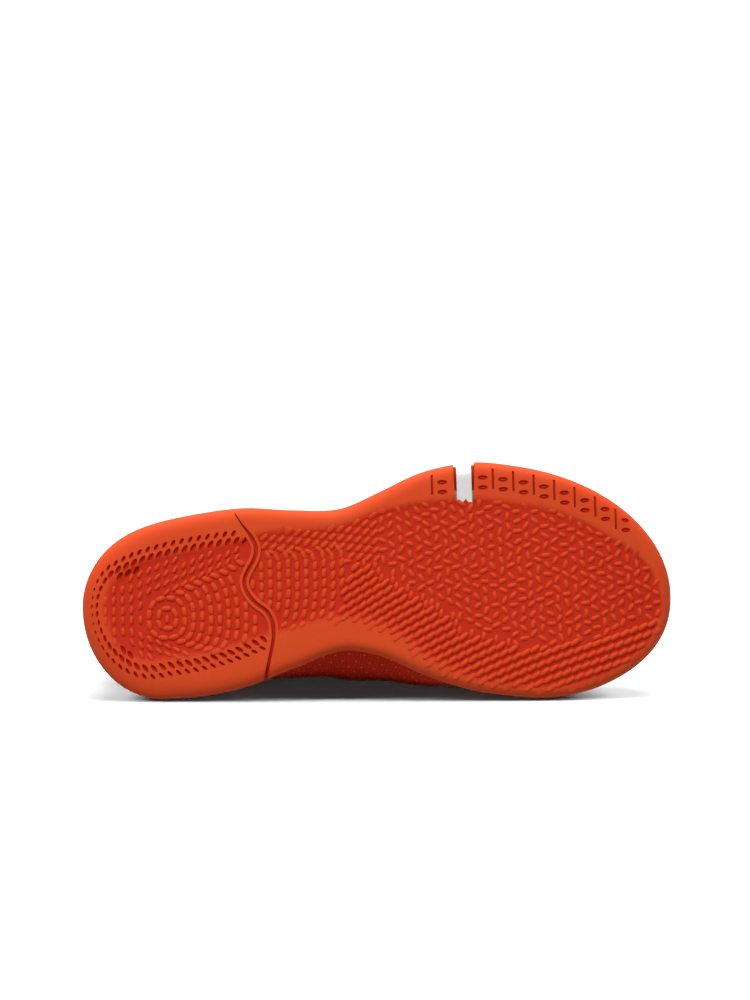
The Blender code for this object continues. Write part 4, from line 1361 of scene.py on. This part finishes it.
def foamTab(shell):
    size, mesh = slotSizes, foamMesh
    half = size["tab"] / 2
    inner = slotBrink() + size["length"] - sole["gap"]
    loops = []
    for x in np.linspace(size["x"] - half, size["x"] + half, mesh["tabSteps"]):
        loop = [(x, lateralEdge(x) + inset, height) for inset, height in mesh["tabProfile"]]
        loop += [(x, inner - back, size["top"] - drop) for back, drop in mesh["tabTop"]]
        loops.append(loop + [(x, inner, loop[0][2])])
    shell.tube(loops)


def makeMidsole():
    size, gap = foamMesh, sole["gap"]
    shell = slab(size["stations"], lambda turn: cupInset(turn) + gap,
                 lambda x: ground(x) + sole["cupFloor"] + gap, foamTop, size["rounding"], size["columns"])
    foamTab(shell)
    dress(shell.piece("midsole_foam", foam, size["smooth"]), "foam", "midsole")
    print("midsole done")


makeMidsole()

# footbed

footbedSizes = {
    "thickness": 4.0, "clearance": 0.5, "edge": 1.6, "wall": 2.2, "stations": 200, "columns": 24,
    "smooth": 50.0, "fill": 0.9,
}


def makeFootbed():
    size, gap = footbedSizes, sole["gap"]
    shell = slab(size["stations"], lambda turn: cupInset(turn) + gap + size["wall"] + size["clearance"],
                 lambda x: foamTop(x) + gap, lambda x: foamTop(x) + gap + size["thickness"],
                 size["edge"], size["columns"])
    thing = shell.piece("footbed", footbed, size["smooth"])
    dress(thing, "footbed", "insole")
    print("footbed done")


makeFootbed()

# upper

upperSizes = {
    "stations": 400, "wall": 2.2, "collarPadding": 3.2, "collarDepth": 24.0, "stayStep": 0.9,
    "stayWidth": 17.0, "stayPast": 1.0, "stayEdge": 1.0, "stayTurn": 86.0, "stayBlend": 7.0,
    "paddingTurn": 62.0, "paddingBlend": 16.0, "rows": 26, "rollShare": 0.9,
    "rollAngles": (150, 120, 90, 60, 30), "smooth": 50.0,
    "bands": (0.0, 1.5, 3, 4.5, 6, 8, 10, 12, 14, 15.6, 16.6, 17.0, 17.4, 17.8, 18.2, 19),  # on the stay
    "collarSeam": {"below": 27.0, "width": 3.0, "depth": 0.55},
}
creases = (  # soft troughs over the flex of the vamp
    {"x": 226.0, "lean": 0.22, "width": 4.2, "depth": 0.55, "y": -4.0, "reach": 30.0},
    {"x": 237.0, "lean": 0.12, "width": 3.6, "depth": 0.4, "y": 6.0, "reach": 26.0},
    {"x": 213.0, "lean": 0.3, "width": 4.5, "depth": 0.45, "y": -34.0, "reach": 16.0},
)
creaseEnd = 1.4  # how soon a crease is at its full depth


def stayShare(turn):
    size = upperSizes
    return np.clip((fold(turn) - size["stayTurn"] + size["stayBlend"]) / size["stayBlend"], 0, 1)


def paddingShare(turn):
    size = upperSizes
    return np.clip((size["paddingTurn"] + size["paddingBlend"] - fold(turn)) / size["paddingBlend"], 0, 1)


def gridNormals(points):  # rows run down from the top edge, columns go round; out at the heel
    around = np.roll(points, -1, axis=1) - np.roll(points, 1, axis=1)
    normals = unit(np.cross(np.gradient(points, axis=0), around))
    return normals if np.mean(normals[:, 0, 0]) < 0 else -normals


def upperRelief(points, turn, below):
    size = upperSizes
    stay = smoothStep((size["stayWidth"] + size["stayPast"] - below) / size["stayEdge"])
    relief = size["stayStep"] * stayShare(turn) * stay
    seam = size["collarSeam"]
    trough = np.exp(-((below - seam["below"]) / seam["width"]) ** 2) * paddingShare(turn)
    relief = relief - seam["depth"] * trough
    for crease in creases:
        aside = points[..., 1] - crease["y"]
        middle = crease["x"] + crease["lean"] * aside
        along = smoothStep(creaseEnd * (1 - np.abs(aside) / crease["reach"]))
        trough = np.exp(-((points[..., 0] - middle) / crease["width"]) ** 2)
        relief = relief - crease["depth"] * along * trough
    return relief


def onFoam(points):  # straight down to the top of the foam
    foot = points.copy()
    foot[:, 2] = foamTop(foot[:, 0]) + sole["gap"]
    return foot


def upperRows(turn, reach):  # distances below the topline: bands over the stay, then even rows to the sole
    size = upperSizes
    wallTop = size["wall"] + size["collarPadding"] * paddingShare(turn) + size["stayStep"] * stayShare(turn)
    roll = wallTop / 2 * size["rollShare"]
    last = size["bands"][-1]
    below = [roll + band * (last - roll) / last for band in size["bands"]]
    below += [last + (reach - last) * share for share in np.linspace(0, 1, size["rows"] + 1)[1:]]
    return np.array(below)


def upperSkins(turns, below):
    size = upperSizes
    skin = upperPoint(turns, below)
    normals = gridNormals(skin)
    outer = skin + normals * upperRelief(skin, turns, below)[..., None]
    padded = size["collarPadding"] * paddingShare(turns) * np.clip(1 - below / size["collarDepth"], 0, 1)
    return outer, skin - normals * (size["wall"] + padded)[..., None]


def upperRolls(outer, inner):  # round over the top edge from the inside to the outside
    lead = unit(outer[0] - outer[1])
    middle = (outer[0] + inner[0]) / 2
    half = np.linalg.norm(outer[0] - inner[0], axis=-1, keepdims=True) / 2
    side = unit(outer[0] - inner[0])
    angles = np.radians(upperSizes["rollAngles"])
    return np.array([middle + side * half * math.cos(a) + lead * half * math.sin(a) for a in angles])


def makeUpper():
    size = upperSizes
    turn = allTurns(size["stations"])
    reach = ribReach(turn)
    below = upperRows(turn, reach)
    outer, inner = upperSkins(np.broadcast_to(turn, below.shape), below)
    rolls = upperRolls(outer, inner)
    foot, innerFoot = onFoam(outer[-1]), inner[-1].copy()
    innerFoot[:, 2] = foot[:, 2]
    rows = np.concatenate((innerFoot[None], inner[::-1], rolls, outer, foot[None]))
    shell = Shell()
    index = shell.grid(rows, closed=True)
    shell.quads(np.stack((index[-1], index[0])), closed=True)
    thing = shell.piece("upper_shell", knit, size["smooth"])
    thing.data.materials.append(lining)
    girth = outer[len(size["bands"])]
    span = np.linalg.norm(np.roll(girth, -1, axis=0) - girth, axis=-1)
    setField(thing, "around", np.broadcast_to(np.concatenate(([0], np.cumsum(span)[:-1])), rows.shape[:2]))
    up, flat = reach - below, np.zeros((1, len(turn)))
    over = np.repeat(up[:1], len(rolls), axis=0)
    setField(thing, "upward", np.concatenate((flat, up[::-1], over, up, flat)))
    insideRows = 1 + len(inner) + len(rolls) // 2  # lined as far as the top of the roll
    faceRows = np.concatenate((np.repeat(np.arange(len(rows) - 1), len(turn)), np.full(len(turn), 0)))
    thing.data.polygons.foreach_set("material_index", (faceRows < insideRows).astype(np.int32))
    holes = eyeletCutter()
    cutBy(thing, holes)
    bake(thing, size["smooth"])
    discard(holes)
    dress(thing, "knit", "upper")
    print("upper", len(thing.data.polygons), "faces")


eyelets = {
    "turns": (91.0, 99.0, 107.0, 116.0, 127.0, 141.0), "inset": 8.0, "hole": 2.0, "ring": 3.1, "height": 0.55,
    "around": 28, "holeAround": 20, "holeRun": (-6.0, 3.0), "tiltStep": 40, "smooth": 80.0,
}


def eyeletRings(count):  # spot, normal and circle of each eyelet
    angle = circleAngles(count)
    for share in eyelets["turns"]:
        for turn in (share, 360 - share):
            normal = upperNormal(turn, eyelets["inset"])
            spot = upperPoint(turn, eyelets["inset"]) + normal * upperSizes["stayStep"]
            along = unit(np.cross(normal, (0.0, 1.0, 0.0)))
            circle = along * np.cos(angle)[:, None] + np.cross(normal, along) * np.sin(angle)[:, None]
            yield spot, normal, circle


def eyeletCutter():
    shell = Shell()
    for spot, normal, circle in eyeletRings(eyelets["holeAround"]):
        shell.tube([spot + circle * eyelets["hole"] + normal * rise for rise in eyelets["holeRun"]])
    return shell.piece("eyelet_cutter")


def makeEyelets():
    shell = Shell()
    width = (eyelets["ring"] - eyelets["hole"]) / 2
    middle = (eyelets["ring"] + eyelets["hole"]) / 2
    tilts = np.radians(np.arange(0, 360, eyelets["tiltStep"]))
    for spot, normal, circle in eyeletRings(eyelets["around"]):
        loops = []
        for tilt in tilts:
            rise = normal * eyelets["height"] * math.sin(tilt)
            loops.append(spot + circle * (middle + width * math.cos(tilt)) + rise)
        shell.grid(np.array(loops + loops[:1]), closed=True)
    dress(shell.piece("eyelet_rings", thread, eyelets["smooth"]), "knit")


makeUpper()
makeEyelets()

# tongue

tongueSizes = {
    "clearances": (1.7, 0.45), "thickness": 4.0, "underlap": 9.0, "topUnderlap": 0.3,
    "underlapTurns": (90.0, 106.0), "shares": (91.0, 150.0), "rows": 10, "columns": 6, "topRows": 5,
    "topRun": 6.4, "topSlopes": (20.0, 64.0), "taper": 0.94, "flatten": 0.78, "frontRows": 2,
    "frontStep": (6.0, 0.0, -2.0), "brink": 1.0, "softness": 2, "smooth": 80.0, "fill": 0.7,
}


def bridge(start, end, share):  # point and normal of the form that closes the throat
    brinks, leads, normals = [], [], []
    for turn in (start, end):
        _, _, pull, head = ribCurve(turn)
        brinks.append(head)
        leads.append(unit(head - pull))
        normals.append(upperNormal(turn, tongueSizes["brink"]))
    reach = np.linalg.norm(brinks[1] - brinks[0]) / 3
    point = bezier(brinks[0], brinks[0] + leads[0] * reach, brinks[1] + leads[1] * reach, brinks[1], share)
    return point, unit(normals[0] * (1 - share) + normals[1] * share)


def tongueRow(share):
    size = tongueSizes
    far = 360 - share
    drop = upperSizes["wall"] + np.interp(share, size["shares"], size["clearances"])
    under = size["underlap"] * np.interp(share, size["underlapTurns"], (size["topUnderlap"], 1.0))
    row = [(upperPoint(share, below), upperNormal(share, below)) for below in (under, under / 2)]
    row += [bridge(share, far, i / size["columns"]) for i in range(size["columns"] + 1)]
    row += [(upperPoint(far, below), upperNormal(far, below)) for below in (under / 2, under)]
    return np.array([point - normal * drop for point, normal in row])


def makeTongue():
    size = tongueSizes
    sections = [tongueRow(share) for share in np.linspace(*size["shares"], size["rows"])]
    for slope in np.radians(np.linspace(*size["topSlopes"], size["topRows"])):
        last = sections[0]
        crown = last[len(last) // 2]
        step = size["topRun"] * np.array((-math.cos(slope), 0.0, math.sin(slope)))
        sections.insert(0, crown + step + (last - crown) * (1.0, size["taper"], size["flatten"]))
    for _ in range(size["frontRows"]):
        sections.append(sections[-1] + np.array(size["frontStep"]))
    top = np.array(sections)
    normals = unit(np.cross(np.gradient(top, axis=1), np.gradient(top, axis=0)))
    if np.mean(normals[..., 2]) < 0:
        normals = -normals
    low = top - normals * size["thickness"]
    shell = Shell()
    index = shell.grid(np.concatenate((top, low[:, ::-1]), axis=1), closed=True)
    width = top.shape[1]
    for end, flip in ((0, True), (-1, False)):
        ends = np.stack((index[end, :width], index[end, :width - 1:-1]))
        shell.quads(ends[::-1] if flip else ends)
    thing = shell.piece("tongue_pad", padding, size["smooth"])
    soft = thing.modifiers.new("soft", "SUBSURF")
    soft.levels = soft.render_levels = size["softness"]
    bake(thing, size["smooth"])
    dress(thing, "padding", "tongue")
    print("tongue done")


makeTongue()

# lace

laceSizes = {
    "width": 7.0, "thickness": 1.3, "lift": 0.8, "ride": 0.9, "rideRun": 0.13, "steps": 30, "around": 12,
    "pinch": 3.4, "pinchRun": 0.16, "dive": 3.0, "diveRun": 0.09, "flatness": 0.55, "roundness": 0.8,
    "under": -0.4, "over": 1.0, "smooth": 50.0,
}


def throatPoint(share, across):
    if abs(across) <= 1:
        return bridge(share, 360 - share, (across + 1) / 2)
    turn = share if across < 0 else 360 - share
    below = (abs(across) - 1) * upperSizes["stayWidth"]
    return upperPoint(turn, below), upperNormal(turn, below)


def laceLeg(shell, start, end, over):  # from an eyelet to the one across, both ends through the holes
    size = laceSizes
    base = upperSizes["stayStep"] + size["lift"] + size["thickness"] / 2
    reach = 1 + eyelets["inset"] / upperSizes["stayWidth"]
    points, normals, widths = [], [], []
    for t in np.linspace(0, 1, size["steps"] + 1):
        point, normal = throatPoint(start + (end - start) * t, reach * (2 * t - 1))
        near = min(t, 1 - t)  # to the closer end
        hump = over * size["ride"] * math.exp(-((t - 0.5) / size["rideRun"]) ** 2)
        fall = (1 - smoothStep(near / size["diveRun"])) * (base + size["dive"])
        points.append(point + normal * (base + hump - fall))
        normals.append(normal)
        widths.append(size["pinch"] + (size["width"] - size["pinch"]) * smoothStep(near / size["pinchRun"]))
    points = np.array(points)
    run = unit(np.gradient(points, axis=0))
    side = unit(np.cross(run, np.array(normals)))
    thick = np.cross(side, run)
    angle = circleAngles(size["around"])
    flat = np.array(widths)[:, None] / 2 * bent(np.cos(angle), size["flatness"])
    rise = bent(np.sin(angle), size["roundness"]) * size["thickness"] / 2
    shell.tube(points[:, None] + side[:, None] * flat[..., None] + thick[:, None] * rise[None, :, None])
    walked = walk(points)
    return np.broadcast_to(walked[:, None], flat.shape).ravel(), flat.ravel(), walked[-1]


def makeLace():
    shell = Shell()
    turns = eyelets["turns"]
    legs = [(turns[-1], turns[-1], 0)]
    for high, low in zip(turns, turns[1:]):
        legs += [(high, low, laceSizes["under"]), (low, high, laceSizes["over"])]
    around, upward, lengths = zip(*(laceLeg(shell, *leg) for leg in legs))
    thing = shell.piece("lace_crossings", laceCloth, laceSizes["smooth"])
    setField(thing, "around", np.concatenate(around))
    setField(thing, "upward", np.concatenate(upward))
    dress(thing, "cord", "lace")
    print("lace over the throat", round(sum(lengths)), "mm")


makeLace()

# stitches

stitchSizes = {
    "length": 2.5, "gap": 0.9, "radius": 0.28, "proud": 0.1, "sink": 0.6, "around": 6, "smooth": 80.0,
    "profile": ((0.0, 0.35, -0.5), (0.12, 0.8, 0.4), (0.5, 1.0, 1.0), (0.88, 0.8, 0.4), (1.0, 0.35, -0.5)),
    "seams": (  # turns and their number, and the distance below the topline
        {"turns": (88, 272, 500), "below": 15.2},
        {"turns": (88, 272, 500), "below": 2.6},
        {"turns": (-66, 66, 400), "below": 27.0},
    ),
}


def addStitches(shell, turns, below):
    size = stitchSizes
    turns = np.linspace(*turns)
    points, normals = upperPoint(turns, below), upperNormal(turns, below)
    points = points + normals * upperRelief(points, turns, np.full(turns.shape, below))[..., None]
    walked = walk(points)
    angle = circleAngles(size["around"])
    for place in np.arange(0, walked[-1] - size["length"], size["length"] + size["gap"]):
        start, end = (follow(points, walked, place + size["length"] * t) for t in (0, 1))
        normal = unit(follow(normals, walked, place + size["length"] / 2))
        side = np.cross(unit(end - start), normal)
        circle = side * np.cos(angle)[:, None] + normal * np.sin(angle)[:, None]
        rings = []
        for t, share, lift in size["profile"]:
            rise = normal * (size["proud"] + size["radius"] * (lift - size["sink"]))
            rings.append(start * (1 - t) + end * t + rise + circle * size["radius"] * share)
        shell.tube(rings)


def makeStitches():
    shell = Shell()
    for seam in stitchSizes["seams"]:
        addStitches(shell, **seam)
    dress(shell.piece("stitches", thread, stitchSizes["smooth"]), "knit")
    print("stitches done")


makeStitches()

# floor, light and camera

stageLook = {
    "floor": 80.0, "grey": 0.03, "roughness": 0.9,
    # a dark sheet under the arch, seen only by the shoe's bounced light: painted shade for the floor in its
    # shadow
    "flag": {"x": (-0.06, 0.05), "y": (-0.022, 0.05), "grey": 0.25},
    "world": 0.34, "key": 3.0, "keyFrom": (-0.1, 0.3, 0.92), "keySpread": 45.0, "lift": 2.6,
    "fill": 49.0, "fillPlace": (-0.45, -2.0, 2.3), "fillSize": (1.8, 1.0),
    "sweeps": (  # on the floor alone
        {"place": (0.0, 0.29, 0.956), "spread": 44.0, "energy": 84.0},
        {"place": (-0.85, 0.2, 0.66), "spread": 42.0, "energy": 100.0},
        {"place": (0.85, 0.2, 0.56), "spread": 42.0, "energy": 145.0},
    ),
}
cameraLook = {
    "elevation": 7.0, "distance": 2.6, "frameHeight": 0.5128, "raise": 0.0356, "aside": -0.0008,
    "roll": -0.25, "sensor": 36.0, "clipEnd": 200.0,
}


def stagePlane(name, x, y, height, grey):
    data = bpy.data.meshes.new(name)
    corners = ((x[0], y[0]), (x[1], y[0]), (x[1], y[1]), (x[0], y[1]))
    data.from_pydata([(*corner, height) for corner in corners], [], [(0, 1, 2, 3)])
    made = Finish(name + "_matt", Roughness=stageLook["roughness"])
    made.set("Base Color", (grey, grey, grey, 1.0))
    made.set("Specular IOR Level", 0.0)
    data.materials.append(made.material)
    thing = bpy.data.objects.new(name, data)
    bpy.context.scene.collection.objects.link(thing)
    thing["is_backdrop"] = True
    return thing


def makeFloor():
    half, shadeSheetLook = stageLook["floor"] / 2, stageLook["flag"]
    floor = stagePlane("floor", (-half, half), (-half, half), 0.0, stageLook["grey"])
    floor.visible_diffuse = False  # the world's even light stands for the floor's
    flag = stagePlane("flag", shadeSheetLook["x"], shadeSheetLook["y"], -mm, shadeSheetLook["grey"])  # a dark sheet under the arch, hidden from the camera: painted shade standing for the shadowed floor, which keeps the world's light off the arch
    flag.visible_camera = False
    return floor


def addLight(name, kind, energy, place, lit):  # shines from its place to the middle, on the lit pieces
    data = bpy.data.lights.new(name, kind)
    data.energy = energy
    thing = bpy.data.objects.new(name, data)
    thing.location = place
    thing.rotation_euler = Vector(place).to_track_quat("Z", "Y").to_euler()
    bpy.context.scene.collection.objects.link(thing)
    group = bpy.data.collections.new("lit_by_" + name)
    for piece in lit:
        group.objects.link(piece)
    thing.light_linking.receiver_collection = group
    return data


def makeLights(floor):
    look = stageLook
    world = bpy.data.worlds.new("studio")
    world.use_nodes = True
    back = world.node_tree.nodes["Background"]
    back.inputs["Color"].default_value = (1, 1, 1, 1)
    back.inputs["Strength"].default_value = look["world"]
    bpy.context.scene.world = world
    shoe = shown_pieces()
    overhead = addLight("overhead", "SUN", look["key"], look["keyFrom"], shoe)
    overhead.angle = math.radians(look["keySpread"])
    for sweep in look["sweeps"]:  # a grey floor under strong light
        light = addLight("sweep", "SUN", sweep["energy"], sweep["place"], [floor])
        light.angle = math.radians(sweep["spread"])
    lift = addLight("shadow_lift", "SUN", look["lift"], (0.0, 0.0, 1.0), [floor])
    lift.use_shadow = False
    fill = addLight("front_fill", "AREA", look["fill"], look["fillPlace"], shoe)
    fill.shape = "RECTANGLE"
    fill.size, fill.size_y = look["fillSize"]
    view = bpy.context.scene.view_settings
    view.view_transform = "Standard"
    view.look = "None"


def makeCamera():
    look = cameraLook
    low, high = cadBox
    tilt = math.radians(look["elevation"])
    back = Vector((0, -math.cos(tilt), math.sin(tilt)))
    up = Vector((0, math.sin(tilt), math.cos(tilt)))
    aim = (low + high) / 2 + up * look["raise"] + Vector((look["aside"], 0, 0))
    data = bpy.data.cameras.new("camera")
    data.sensor_width = look["sensor"]
    data.lens = look["sensor"] * look["distance"] / look["frameHeight"]
    data.clip_end = look["clipEnd"]
    thing = bpy.data.objects.new("camera", data)
    thing.location = aim + back * look["distance"]
    thing.rotation_euler = (-back).to_track_quat("-Z", "Y").to_euler()
    thing.rotation_euler.rotate_axis("Z", math.radians(look["roll"]))
    bpy.context.scene.collection.objects.link(thing)
    bpy.context.scene.camera = thing


makeLights(makeFloor())
makeCamera()
print("stage ready")
